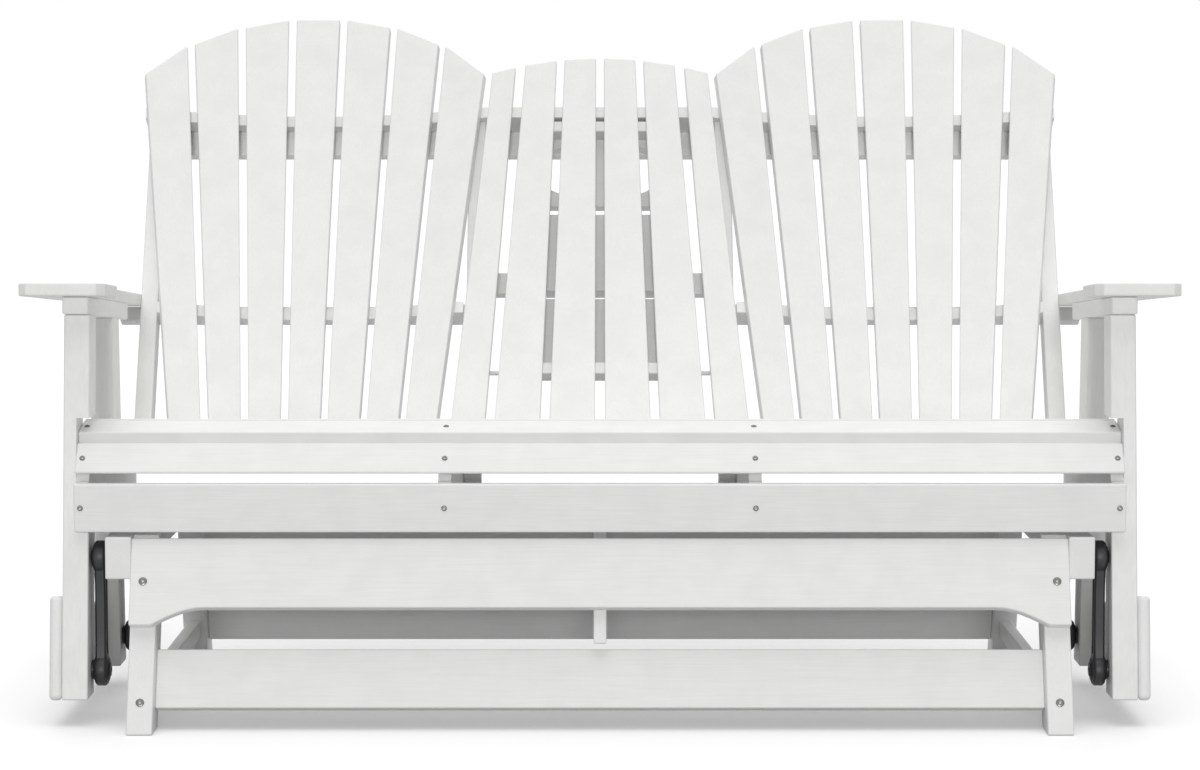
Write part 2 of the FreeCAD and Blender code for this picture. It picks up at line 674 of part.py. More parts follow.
def posts():
    """Leaning posts, housed for the seat and bored for the lower pivot bolts."""
    bolts = []
    front = (D.front_post_y, f"tan({D.front_post_lean})", D.front_post_lean, D.front_pivot_y)
    rear = (D.rear_post_y, f"(-tan({D.rear_post_lean}))", D.rear_post_lean, D.rear_pivot_y)
    ends = (
        ("front", front, D.front_post_low, (D.nose_y, D.nose_top, "0")),
        ("rear", rear, D.rear_post_low, (D.seat_y, f"({D.seat_top} + {D.housing_clear})", f"(-{D.seat_slope})")),
    )
    for side_name, side in SIDES:
        for end, (foot_y, lean, angle, pivot_y), low, top_line in ends:
            name = f"{end}_post_{side_name}"
            x_low = span(side, D.support_in, D.post_out)[0]
            place = f"{FRAME} * {moved(x_low, '0', '0')} * {PROFILE}"
            points = post_outline(foot_y, lean, f"({D.post_deep} / cos({angle}))", low)
            blank = board(f"{name}_blank", points, D.post_wide, place, listed=False)
            housing_x = span(side, D.support_in, D.seat_half)[0]
            housing_place = f"{FRAME} * {moved(housing_x, '0', '0')} * {PROFILE}"
            points = housing_outline(foot_y, top_line)
            housing = board(f"{name}_housing", points, D.board_thick, housing_place, eased=None, listed=False)
            head_far = f"({D.link_in} - {D.flange_thick} - {D.running_gap})"
            head_near = f"({head_far} - {D.bolt_head_tall})"
            bolt_name = f"seat_pivot_bolt_{end}_{side_name}"
            shaft_place = along_x(span(side, head_near, D.post_out)[0], pivot_y, D.pivot_low)
            shaft_long = f"({D.post_out} - {head_near})"
            shaft = cylinder(f"{bolt_name}_shaft", D.bolt_radius, shaft_long, shaft_place)
            head_place = along_x(span(side, head_near, head_far)[0], pivot_y, D.pivot_low)
            head = cylinder(f"{bolt_name}_head", D.bolt_head_radius, D.bolt_head_tall, head_place)
            collar_near = f"({D.link_out} + {D.flange_thick} + {D.running_gap})"
            collar_place = along_x(span(side, collar_near, D.support_in)[0], pivot_y, D.pivot_low)
            collar_long = f"({D.support_in} - {collar_near})"
            collar = cylinder(f"{bolt_name}_collar", D.washer_radius, collar_long, collar_place)
            bolts.append(fused(bolt_name, [shaft, head, collar]))
            cut(name, blank, [housing, shaft])
    group("seat_pivot_bolts", bolts)


def arms():
    """Sloping arms on their rails, stepped in beside the posts, and the lower side boards."""
    for side_name, side in SIDES:
        corner = D.arm_corner
        points = [
            (f"({D.arm_in} + {corner})", "0"),
            (f"({D.arm_out} - {corner})", "0"),
            (D.arm_out, corner),
            (D.arm_rear_out, D.arm_long),
            (D.support_in, D.arm_long),
            (D.support_in, D.arm_step),
            (D.arm_in, D.arm_step),
            (D.arm_in, corner),
        ]
        if side < 0:
            points = [(f"-{x}", y) for x, y in points[::-1]]
        place = f"{ARM_FRAME} * {moved('0', '0', '-' + D.board_thick)}"
        board(f"arm_{side_name}", points, D.board_thick, place)
        rail_y = f"({D.arm_rail_y} - {D.arm_front_y})"
        rail_low = f"-({D.board_thick} + {D.arm_rail_tall})"
        rail = rectangle(rail_y, f"({rail_y} + {D.arm_rail_long})", rail_low, f"-{D.board_thick}")
        x_low = span(side, D.support_in, D.post_out)[0]
        rail_place = f"{ARM_FRAME} * {moved(x_low, '0', '0')} * {PROFILE}"
        board(f"arm_rail_{side_name}", rail, D.post_wide, rail_place)
        board_far = f"({D.post_out} + {D.board_thick})"
        lean = f"tan({D.front_post_lean})"
        high = f"({D.side_board_low} + {D.side_board_tall})"
        rear = f"({D.front_post_y} + {D.side_board_long})"
        front_top = f"({D.front_post_y} + {high} * {lean})"
        points = [
            (f"({D.front_post_y} + {D.side_board_low} * {lean})", D.side_board_low),
            (rear, D.side_board_low),
            (rear, f"({high} - ({rear} - {front_top}) * tan({D.side_board_fall}))"),
            (front_top, high),
        ]
        side_place = f"{FRAME} * {moved(span(side, D.post_out, board_far)[0], '0', '0')} * {PROFILE}"
        board(f"side_board_{side_name}", points, D.board_thick, side_place, D.side_board_round)


# Back: uprights, rails, contoured supports and slats
def in_back(behind):
    """Place of a board whose rear face lies this far behind the faces of the uprights."""
    return f"{BACK} * {moved('0', behind, '0')} * {STAND}"


PIN_Z = f"({D.block_low} + {D.block_tall} / 2)"


def pin_place(x):
    """Place of a round bar on the fold axis, starting at a distance across the seat."""
    return f"{BACK} * placement(vector({x}; {D.pin_behind}; {PIN_Z}); rotationy(90))"


def uprights():
    """Outer and inner uprights, the inner ones bored for the console's pins."""
    for side_name, side in SIDES:
        for which, far, foot in (
            ("outer", D.support_in, D.outer_upright_low),
            ("inner", D.inner_support_in, D.upright_low),
        ):
            name = f"{which}_upright_{side_name}"
            near = f"({far} - {D.upright_wide})"
            points = rectangle(*span(side, near, far), foot, D.rail_top)
            if which == "outer":
                board(name, points, D.upright_deep, in_back(D.upright_deep))
                continue
            place = in_back(D.upright_deep)
            blank = board(f"{name}_blank", points, D.upright_deep, place, listed=False)
            bore_radius = f"({D.pin_radius} + {D.bolt_clear})"
            bore_place = pin_place(span(side, near, far)[0])
            cut(name, blank, [cylinder(f"{name}_bore", bore_radius, D.upright_wide, bore_place)])


def fan_at(level, low, top):
    """Size of a fan at a height of the back, between its foot and its top."""
    return f"({low} + ({top} - {low}) * ({level} - {D.fan_low}) / ({D.fan_top} - {D.fan_low}))"


def fan_slat_sizes(rank):
    """Pitch and width, at foot and top, of the slat this many places outside the middle of its fan."""
    pitch_low = f"(({D.fan_inner_pitch} + {D.fan_outer_pitch}) / 2)"
    if rank:
        pitch_low = D.fan_outer_pitch if rank > 0 else D.fan_inner_pitch
    pitch_top = f"({pitch_low} + {D.fan_spread})"
    wide_low = f"({pitch_low} - {D.fan_gap_low})"
    wide_top = f"({pitch_top} - {D.fan_gap_top})"
    return pitch_low, pitch_top, wide_low, wide_top


def fan_seats(level):
    """Front edge of a support across one fan, from its outer end to its inner end, as seats for slats."""
    points = []
    for rank in range(3, -4, -1):
        pitch_low, pitch_top, wide_low, wide_top = fan_slat_sizes(rank)
        pitch = fan_at(level, pitch_low, pitch_top)
        wide = fan_at(level, wide_low, wide_top)
        behind = f"({D.fan_scoop} + {D.fold_clear} - {D.fan_curve} * {rank * rank})"
        slope = f"({2 * rank} * {D.fan_curve} / (({pitch_low} + {pitch_top}) / 2))"
        for edge in (0.5, -0.5):
            x = f"({D.fan_middle} + {rank} * {pitch} + {edge} * {wide})"
            points.append((x, f"({behind} - {slope} * {edge} * {wide})"))
    return points


def beside_fixed(level):
    """Distance across the seat just outside the fixed centre slat, at a height of the back."""
    narrowing = f"({D.fixed_slat_out_top} - {D.fixed_slat_out_low})"
    part = f"({level} - {D.fan_low}) / ({D.centre_top} - {D.fan_low})"
    return f"({D.fixed_slat_out_low} + {narrowing} * {part} + {D.eased_edge})"


def mirrored(points):
    """The same outline on the left side, still running the same way round."""
    return [(f"-{x}", y) for x, y in points[::-1]]


def back_rails():
    """Straight rails behind the uprights."""
    rear = f"({D.upright_deep} + {D.board_thick})"
    low = f"({D.rail_top} - {D.upper_rail_tall})"
    points = rectangle(f"-{D.support_in}", D.support_in, low, D.rail_top)
    board("upper_back_rail", points, D.board_thick, in_back(rear))
    mid_high = f"({D.mid_rail_low} + {D.mid_rail_tall})"
    points = rectangle(f"-{D.inner_support_in}", D.inner_support_in, D.mid_rail_low, mid_high)
    board("mid_back_rail", points, D.board_thick, in_back(rear))
    lower = []
    for side_name, side in SIDES:
        near = f"({D.inner_support_in} - {D.upright_wide})"
        points = rectangle(*span(side, near, D.post_out), D.lower_rail_low, D.lower_rail_top)
        name = f"lower_back_rail_{side_name}"
        lower.append(board(name, points, D.board_thick, in_back(rear), listed=False))
    group("lower_back_rails", lower)


def contoured_supports():
    """Boards across the back, cut in front to the dish of the fans, that the slats lie on."""
    level = f"({D.rail_top} + {D.board_thick} / 2)"
    seats = fan_seats(level)
    half = f"({seats[0][0]} + {D.eased_edge})"
    rear = f"({D.upright_deep} + {D.board_thick})"
    right = [(half, rear), (half, seats[0][1])] + seats + [(beside_fixed(level), f"-{D.centre_forward}")]
    place = f"{BACK} * {moved('0', '0', D.rail_top)}"
    board("contoured_back_support", right + mirrored(right), D.board_thick, place, eased=None)
    rows = (("lower_back_supports", D.lower_support_low), ("foot_supports", D.foot_support_low))
    for group_name, height in rows:
        level = f"({height} + {D.board_thick} / 2)"
        seats = fan_seats(level)
        far = f"({D.support_in} - {D.upright_wide})"
        step = beside_fixed(level)
        right = [(far, D.upright_deep), (far, seats[0][1])] + seats
        right += [(step, seats[-1][1]), (step, D.fold_clear)]
        right += [(D.inner_support_in, D.fold_clear), (D.inner_support_in, D.upright_deep)]
        place = f"{BACK} * {moved('0', '0', height)}"
        pieces = []
        for side_name, side in SIDES:
            points = right if side > 0 else mirrored(right)
            name = f"{group_name}_{side_name}"
            pieces.append(board(name, points, D.board_thick, place, eased=None, listed=False))
        group(group_name, pieces)


def fan_slats():
    """Seven tapering slats in each fan, spread and dished, with their tops on an arc."""
    tall = f"({D.fan_top} - {D.fan_low})"
    for side_name, side in SIDES:
        slats = []
        for index in range(-3, 4):
            pitch_low, pitch_top, wide_low, wide_top = fan_slat_sizes(side * index)
            x = f"({side} * {D.fan_middle} + {index} * {pitch_low})"
            lean = f"atan({index} * {D.fan_spread} / {tall})"
            yaw = f"atan(-{2 * index} * {D.fan_curve} / (({pitch_low} + {pitch_top}) / 2))"
            behind = f"({D.fan_scoop} - {D.fan_curve} * {index * index})"
            turn = f"rotationy({lean}) * rotationz({yaw})"
            place = f"{BACK} * placement(vector({x}; {behind}; {D.fan_low}); {turn}) * {STAND}"
            tops = []
            for edge in (0.5, -0.5):
                reach = f"({index} * {pitch_top} + {edge} * {wide_top})"
                drop = f"({D.fan_arc} - sqrt({D.fan_arc} ^ 2 - {reach} ^ 2))"
                tops.append((f"({edge} * {wide_top})", f"(({tall} - {drop}) / cos({lean}))"))
            points = [(f"(-0.5 * {wide_low})", "0"), (f"(0.5 * {wide_low})", "0")] + tops
            name = f"{side_name}_fan_slat_{index + 4}"
            slats.append(board(name, points, D.board_thick, place, listed=False))
        group(f"{side_name}_fan_slats", slats)


def centre_outline(side, sizes, low):
    """Tapering slat of the middle of the back, measured up from its foot."""
    in_low, in_top, out_low, out_top = sizes
    tops = []
    for x in (out_top, in_top):
        drop = f"({D.centre_arc} - sqrt({D.centre_arc} ^ 2 - {x} ^ 2))"
        tops.append((x, f"({D.centre_top} - {drop} - {low})"))
    points = [(in_low, "0"), (out_low, "0")] + tops
    return points if side > 0 else mirrored(points)


def fixed_slats():
    """The slats beside the console, fixed to the inner uprights and the upper support."""
    lean = f"atan({D.centre_forward} / ({D.rail_top} - {D.fan_low}))"
    place = f"{BACK} * placement(vector(0; 0; {D.fan_low}); rotationx({lean})) * {STAND}"
    sizes = (D.fixed_slat_in_low, D.fixed_slat_in_top, D.fixed_slat_out_low, D.fixed_slat_out_top)
    slats = []
    for side_name, side in SIDES:
        points = centre_outline(side, sizes, D.fan_low)
        slats.append(board(f"fixed_slat_{side_name}", points, D.board_thick, place, listed=False))
    group("fixed_centre_slats", slats)


def console():
    """Middle of the back that folds forward: slats in front, a table of three boards behind."""
    front = f"-({D.centre_forward} + {D.fold_clear})"
    place = f"{BACK} * {moved('0', front, D.centre_low)} * {STAND}"
    inner = (D.inner_slat_in_low, D.inner_slat_in_top, D.inner_slat_out_low, D.inner_slat_out_top)
    outer = (D.outer_slat_in_low, D.outer_slat_in_top, D.outer_slat_out_low, D.outer_slat_out_top)
    slats = []
    for side_name, side in SIDES:
        for which, sizes in (("inner", inner), ("outer", outer)):
            points = centre_outline(side, sizes, D.centre_low)
            name = f"console_{which}_slat_{side_name}"
            slats.append(board(name, points, D.board_thick, place, listed=False))
    group("console_slats", slats)
    table_behind = f"({D.upright_deep} - {D.fold_clear})"
    across = (f"-{D.console_half}", D.console_half)
    rows = (
        ("console_cup_board_blank", D.cup_board_low, D.console_top),
        ("console_middle_board", D.middle_board_low, f"({D.cup_board_low} - {D.board_gap})"),
        ("console_lower_board", D.lower_board_low, f"({D.middle_board_low} - {D.board_gap})"),
    )
    boards = []
    for name, low, high in rows:
        points = rectangle(*across, low, high)
        boards.append(board(name, points, D.board_thick, in_back(table_behind), listed=False))
    holes = []
    for side_name, side in SIDES:
        hole_place = f"{in_back(table_behind)} * {moved(f'({side} * {D.cup_x})', D.cup_z, '0')}"
        holes.append(cylinder(f"cup_hole_{side_name}", D.cup_radius, D.board_thick, hole_place))
    cut("console_cup_board", boards[0], holes)
    group("console_boards", boards[1:])
    frame_behind = f"({table_behind} - {D.board_thick})"
    frame_deep = f"({frame_behind} + {D.centre_forward} + {D.fold_clear})"
    block_high = f"({D.block_low} + {D.block_tall})"
    frames = []
    pins = []
    for side_name, side in SIDES:
        near = f"({D.console_half} - {D.board_thick})"
        points = rectangle(*span(side, near, D.console_half), block_high, D.console_top)
        name = f"console_side_{side_name}"
        frames.append(board(name, points, frame_deep, in_back(frame_behind), listed=False))
        pin_far = f"({D.inner_support_in} - {D.upright_wide} / 4)"
        pin_x = span(side, near, pin_far)[0]
        pin_long = f"({pin_far} - {near})"
        pins.append(cylinder(f"console_pin_{side_name}", D.pin_radius, pin_long, pin_place(pin_x)))
    top_bar = rectangle(f"-{near}", near, f"({D.console_top} - {D.board_thick})", D.console_top)
    frames.append(board("console_top_bar", top_bar, frame_deep, in_back(frame_behind), listed=False))
    group("console_side_frames", frames)
    points = rectangle(*across, D.block_low, block_high)
    blank = board("console_hinge_block_blank", points, frame_deep, in_back(frame_behind), listed=False)
    cut("console_hinge_block", blank, pins)
    group("console_pivot_pins", pins)


base_legs()
base_cross_boards()
base_pivots()
links("front", D.front_pivot_y, D.bar_thick, f"({D.link_in} + ({D.eye_thick} - {D.bar_thick}) / 2)")
links("rear", D.rear_pivot_y, D.rear_bar_thick, D.link_in)
seat_supports()
seat_slats()
posts()
arms()
uprights()
back_rails()
contoured_supports()
fan_slats()
fixed_slats()
console()
for group_name, screws in SCREWS.items():
    group(f"{group_name}_screws", screws)

doc.recompute()
failed = [item.Name for item in doc.Objects if "Invalid" in item.State or "Error" in item.State]
if failed:
    raise RuntimeError(f"these objects failed: {failed}")
for name, item in NODES:
    item.Label = name
    if item.Shape.isNull() or not item.Shape.isValid():
        raise RuntimeError(f"{name} has no valid shape")

os.makedirs("parts", exist_ok=True)
for name, item in NODES:
    item.Shape.exportStep(f"parts/{name}.step")

whole = FreeCAD.BoundBox()
for name, item in NODES:
    whole.add(item.Shape.BoundBox)
print("nodes", len(NODES), "solids", sum(len(item.Shape.Solids) for name, item in NODES))
print("X", whole.XMin, whole.XMax, "Y", whole.YMin, whole.YMax, "Z", whole.ZMin, whole.ZMax)
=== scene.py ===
"""Glider loveseat of white poly lumber, dressed on its CAD frame and lit as in a plain studio."""

from __future__ import annotations

import json
import logging
import math
from dataclasses import dataclass, field
from enum import Enum

import bmesh
import bpy
from mathutils import Matrix, Vector

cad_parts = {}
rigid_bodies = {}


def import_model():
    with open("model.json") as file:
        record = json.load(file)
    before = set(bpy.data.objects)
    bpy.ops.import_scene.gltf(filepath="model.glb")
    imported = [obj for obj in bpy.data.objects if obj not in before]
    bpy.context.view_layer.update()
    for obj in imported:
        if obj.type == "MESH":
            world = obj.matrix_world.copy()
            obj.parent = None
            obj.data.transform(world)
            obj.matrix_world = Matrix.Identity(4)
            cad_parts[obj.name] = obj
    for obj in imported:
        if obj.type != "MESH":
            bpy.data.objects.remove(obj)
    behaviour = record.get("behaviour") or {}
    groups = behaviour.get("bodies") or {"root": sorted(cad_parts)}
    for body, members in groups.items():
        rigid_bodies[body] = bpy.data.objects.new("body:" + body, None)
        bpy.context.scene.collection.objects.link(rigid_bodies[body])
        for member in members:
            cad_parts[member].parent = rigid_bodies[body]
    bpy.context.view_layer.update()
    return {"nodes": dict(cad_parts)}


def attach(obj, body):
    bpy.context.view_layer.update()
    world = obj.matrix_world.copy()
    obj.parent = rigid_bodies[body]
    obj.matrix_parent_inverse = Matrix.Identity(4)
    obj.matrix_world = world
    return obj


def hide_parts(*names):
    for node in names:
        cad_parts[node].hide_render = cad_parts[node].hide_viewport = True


LOG = logging.getLogger("glider_loveseat")
MM = 0.001
RECESS_LOBES = 6
Profile = list[tuple[float, float]]


class Grain(Enum):
    """Way that a board's embossed grain runs, as the turn that brings the pattern's X onto it."""

    ACROSS = (0.0, 0.0, 0.0)
    DEEP = (0.0, 0.0, -90.0)
    UPRIGHT = (0.0, 90.0, 0.0)
    RECLINED = (27.5, 90.0, 0.0)


def linear(code: str) -> tuple[float, float, float, float]:
    """Turn an sRGB hex colour into linear light.

    Args:
        code: Six hex digits, with or without a leading sign.

    Returns:
        Red, green, blue and an alpha of one.
    """
    digits = code.lstrip("#")
    channels = [int(digits[at:at + 2], 16) / 255 for at in (0, 2, 4)]
    low = [value / 12.92 if value <= 0.04045 else ((value + 0.055) / 1.055) ** 2.4 for value in channels]
    return low[0], low[1], low[2], 1.0


def add_node(tree: bpy.types.NodeTree, kind: str, inputs: dict | None = None, **settings) -> bpy.types.Node:
    """Add a node, set its properties, and fill or link its sockets.

    Args:
        tree: Shader or geometry tree that gets the node.
        kind: Blender's name of the node type.
        inputs: Socket name or number to a plain value or to the output socket that feeds it.
        settings: Properties of the node itself.

    Returns:
        The new node.
    """
    node = tree.nodes.new(kind)
    for name, value in settings.items():
        setattr(node, name, value)
    for name, value in (inputs or {}).items():
        if isinstance(value, bpy.types.NodeSocket):
            tree.links.new(value, node.inputs[name])
        else:
            node.inputs[name].default_value = value
    return node


def new_material(name: str) -> bpy.types.Material:
    """Start a material with an empty tree.

    Args:
        name: Name of the material.

    Returns:
        The new material.
    """
    material = bpy.data.materials.new(name)
    material.use_nodes = True
    material.node_tree.nodes.clear()
    return material


@dataclass(frozen=True)
class LumberFinish:
    """Extruded HDPE lumber, white through and through, embossed with a fine grain and left satin."""

    grain: Grain
    face: str = "#F3F3F2"
    shade: str = "#EEEEED"
    streak_long: float = 90.0
    streak_wide: float = 2.6
    mottle: float = 45.0
    roughness: float = 0.46

    def build(self) -> bpy.types.Material:
        """Build the finish.

        Returns:
            Material whose faint streaks run along the board, with a soft mottle and a shallow bump.
        """
        material = new_material(f"hdpe_lumber_{self.grain.name.lower()}")
        tree = material.node_tree
        where = add_node(tree, "ShaderNodeTexCoord").outputs["Object"]
        turn = tuple(math.radians(angle) for angle in self.grain.value)
        along = add_node(tree, "ShaderNodeMapping", {
            "Vector": where, "Rotation": turn,
        }, vector_type="TEXTURE")
        stretch = (1000 / self.streak_long, 1000 / self.streak_wide, 1000 / self.streak_wide)
        drawn = add_node(tree, "ShaderNodeMapping", {"Vector": along.outputs[0], "Scale": stretch})
        # The streaks are finer than a pixel on the real board, so they are drawn about twice as wide.
        streaks = add_node(tree, "ShaderNodeTexNoise", {
            "Vector": drawn.outputs[0], "Scale": 1.0, "Detail": 3.0, "Roughness": 0.6, "Distortion": 0.15,
        })
        clouds = add_node(tree, "ShaderNodeTexNoise", {
            "Vector": where, "Scale": 1000 / self.mottle, "Detail": 2.0, "Roughness": 0.5,
        })
        depth = add_node(tree, "ShaderNodeMath", {
            0: streaks.outputs["Fac"], 1: clouds.outputs["Fac"],
        }, operation="MULTIPLY")
        fade = add_node(tree, "ShaderNodeMapRange", {
            "Value": depth.outputs[0], "From Min": 0.14, "From Max": 0.36, "To Min": 0.0, "To Max": 1.0,
        })
        colour = add_node(tree, "ShaderNodeMix", {
            0: fade.outputs[0], 6: linear(self.shade), 7: linear(self.face),
        }, data_type="RGBA")
        rough = add_node(tree, "ShaderNodeMapRange", {
            "Value": streaks.outputs["Fac"], "From Min": 0.3, "From Max": 0.7,
            "To Min": self.roughness + 0.07, "To Max": self.roughness - 0.05,
        })
        bump = add_node(tree, "ShaderNodeBump", {
            "Height": streaks.outputs["Fac"], "Strength": 0.22, "Distance": 0.25 * MM,
        })
        shader = add_node(tree, "ShaderNodeBsdfPrincipled", {
            "Base Color": colour.outputs[2], "Roughness": rough.outputs[0], "IOR": 1.53,
            "Normal": bump.outputs[0],
        })
        add_node(tree, "ShaderNodeOutputMaterial", {"Surface": shader.outputs[0]})
        return material


@dataclass(frozen=True)
class CastFinish:
    """Cast iron under black powder coat: a slightly pebbled skin with a soft sheen."""

    name: str = "powder_coated_cast_iron"
    face: str = "#202123"
    worn: str = "#2E2F31"
    pebble: float = 2.2
    roughness: float = 0.42

    def build(self) -> bpy.types.Material:
        """Build the finish.

        Returns:
            Material with a fine pebble in its bump and a broader change of tone.
        """
        material = new_material(self.name)
        tree = material.node_tree
        where = add_node(tree, "ShaderNodeTexCoord").outputs["Object"]
        pebble = add_node(tree, "ShaderNodeTexNoise", {
            "Vector": where, "Scale": 1000 / self.pebble, "Detail": 2.0,
        })
        patches = add_node(tree, "ShaderNodeTexNoise", {
            "Vector": where, "Scale": 1000 / (self.pebble * 14), "Detail": 3.0,
        })
        colour = add_node(tree, "ShaderNodeMix", {
            0: patches.outputs["Fac"], 6: linear(self.face), 7: linear(self.worn),
        }, data_type="RGBA")
        rough = add_node(tree, "ShaderNodeMapRange", {
            "Value": patches.outputs["Fac"], "To Min": self.roughness - 0.08, "To Max": self.roughness + 0.14,
        })
        bump = add_node(tree, "ShaderNodeBump", {
            "Height": pebble.outputs["Fac"], "Strength": 0.3, "Distance": 0.2 * MM,
        })
        shader = add_node(tree, "ShaderNodeBsdfPrincipled", {
            "Base Color": colour.outputs[2], "Roughness": rough.outputs[0], "IOR": 1.5,
            "Normal": bump.outputs[0],
        })
        add_node(tree, "ShaderNodeOutputMaterial", {"Surface": shader.outputs[0]})
        return material


@dataclass(frozen=True)
class SteelFinish:
    """Stainless steel fasteners, cold-headed, then tumbled to a soft shine."""

    # Both steel colours are painted darker than bare stainless: painted shade standing in for the dark shadow
    # ring round each screw head.
    face: str = "#8E8E8B"
    dull: str = "#484846"
    tumble: float = 1.6
    roughness: float = 0.3

    def build(self) -> bpy.types.Material:
        """Build the finish.

        Returns:
            Metal with small dull patches left by tumbling.
        """
        material = new_material("tumbled_stainless_steel")
        tree = material.node_tree
        where = add_node(tree, "ShaderNodeTexCoord").outputs["Object"]
        marks = add_node(tree, "ShaderNodeTexNoise", {
            "Vector": where, "Scale": 1000 / self.tumble, "Detail": 3.0, "Roughness": 0.65,
        })
        colour = add_node(tree, "ShaderNodeMix", {
            0: marks.outputs["Fac"], 6: linear(self.dull), 7: linear(self.face),
        }, data_type="RGBA")
        rough = add_node(tree, "ShaderNodeMapRange", {
            "Value": marks.outputs["Fac"], "To Min": self.roughness + 0.12, "To Max": self.roughness - 0.08,
        })
        shader = add_node(tree, "ShaderNodeBsdfPrincipled", {
            "Base Color": colour.outputs[2], "Roughness": rough.outputs[0], "Metallic": 1.0,
        })
        add_node(tree, "ShaderNodeOutputMaterial", {"Surface": shader.outputs[0]})
        return material


def link_object(name: str, mesh: bpy.types.Mesh) -> bpy.types.Object:
    """Put a mesh into the scene as an object at the origin.

    Args:
        name: Name of the new object.
        mesh: Mesh with its place in its points.

    Returns:
        The linked object.
    """
    piece = bpy.data.objects.new(name, mesh)
    bpy.context.scene.collection.objects.link(piece)
    return piece


def smooth(mesh: bpy.types.Mesh, angle: float = 35.0) -> None:
    """Shade a mesh smooth, with its sharper edges kept crisp.

    Args:
        mesh: Mesh to shade.
        angle: Sharpest bend, in degrees, that is still shaded smooth.
    """
    mesh.shade_smooth()
    mesh.set_sharp_from_angle(angle=math.radians(angle))


def ring_faces(bm: bmesh.types.BMesh, rings: list[list[bmesh.types.BMVert]], closed: bool) -> None:
    """Join rings of equal length with quads.

    Args:
        bm: Mesh that holds the rings.
        rings: Rings in order along the shape.
        closed: Whether the last ring meets the first one.
    """
    pairs = list(zip(rings, rings[1:]))
    if closed:
        pairs.append((rings[-1], rings[0]))
    for lower, upper in pairs:
        count = len(lower)
        for at in range(count):
            after = (at + 1) % count
            bm.faces.new((lower[at], lower[after], upper[after], upper[at]))


def finish_mesh(bm: bmesh.types.BMesh, name: str, angle: float = 35.0) -> bpy.types.Mesh:
    """Turn the faces outwards and hand the mesh over, shaded.

    Args:
        bm: Mesh under construction, freed here.
        name: Name of the new mesh.
        angle: Sharpest bend, in degrees, that is still shaded smooth.

    Returns:
        The finished mesh.
    """
    bmesh.ops.recalc_face_normals(bm, faces=bm.faces[:])
    mesh = bpy.data.meshes.new(name)
    bm.to_mesh(mesh)
    bm.free()
    smooth(mesh, angle)
    return mesh


def turned_mesh(name: str, profile: Profile, sides: int,
                lobes: dict[int, float] | None = None) -> bpy.types.Mesh:
    """Turn a profile about Z.

    Args:
        name: Name of the new mesh.
        profile: Radius and height of each ring, in millimetres. A closed profile has no ring on the axis.
        sides: Number of points in a ring.
        lobes: Ring number to the depth, in millimetres, of a six-lobed wave in its radius.

    Returns:
        Closed mesh, in metres.
    """
    bm = bmesh.new()
    rings = []
    for number, (radius, height) in enumerate(profile):
        wave = (lobes or {}).get(number, 0.0)
        ring = []
        for at in range(sides):
            angle = math.tau * at / sides
            reach = (radius + wave * math.cos(RECESS_LOBES * angle)) * MM
            ring.append(bm.verts.new((reach * math.cos(angle), reach * math.sin(angle), height * MM)))
        rings.append(ring)
    hollow = profile[0] == profile[-1]
    if hollow:
        for vert in rings.pop():
            bm.verts.remove(vert)
    ring_faces(bm, rings, hollow)
    if not hollow:
        bm.faces.new(rings[0][::-1])
        bm.faces.new(rings[-1])
    return finish_mesh(bm, name)


def recess_lobes(profile: Profile, mouth: float, foot: float) -> dict[int, float]:
    """Find the rings of a recess that ends a profile with its mouth, its foot and a point.

    Args:
        profile: Rings of a screw or bolt, from its tip to the point of its recess.
        mouth: Depth of the lobes at the mouth, in millimetres.
        foot: Depth of the lobes at the foot, in millimetres.

    Returns:
        Ring number to the depth of its lobes.
    """
    return {len(profile) - 3: mouth, len(profile) - 2: foot}


@dataclass
class Spot:
    """A place for a repeated fastener: a point and the way that it faces."""

    point: Vector
    facing: Vector


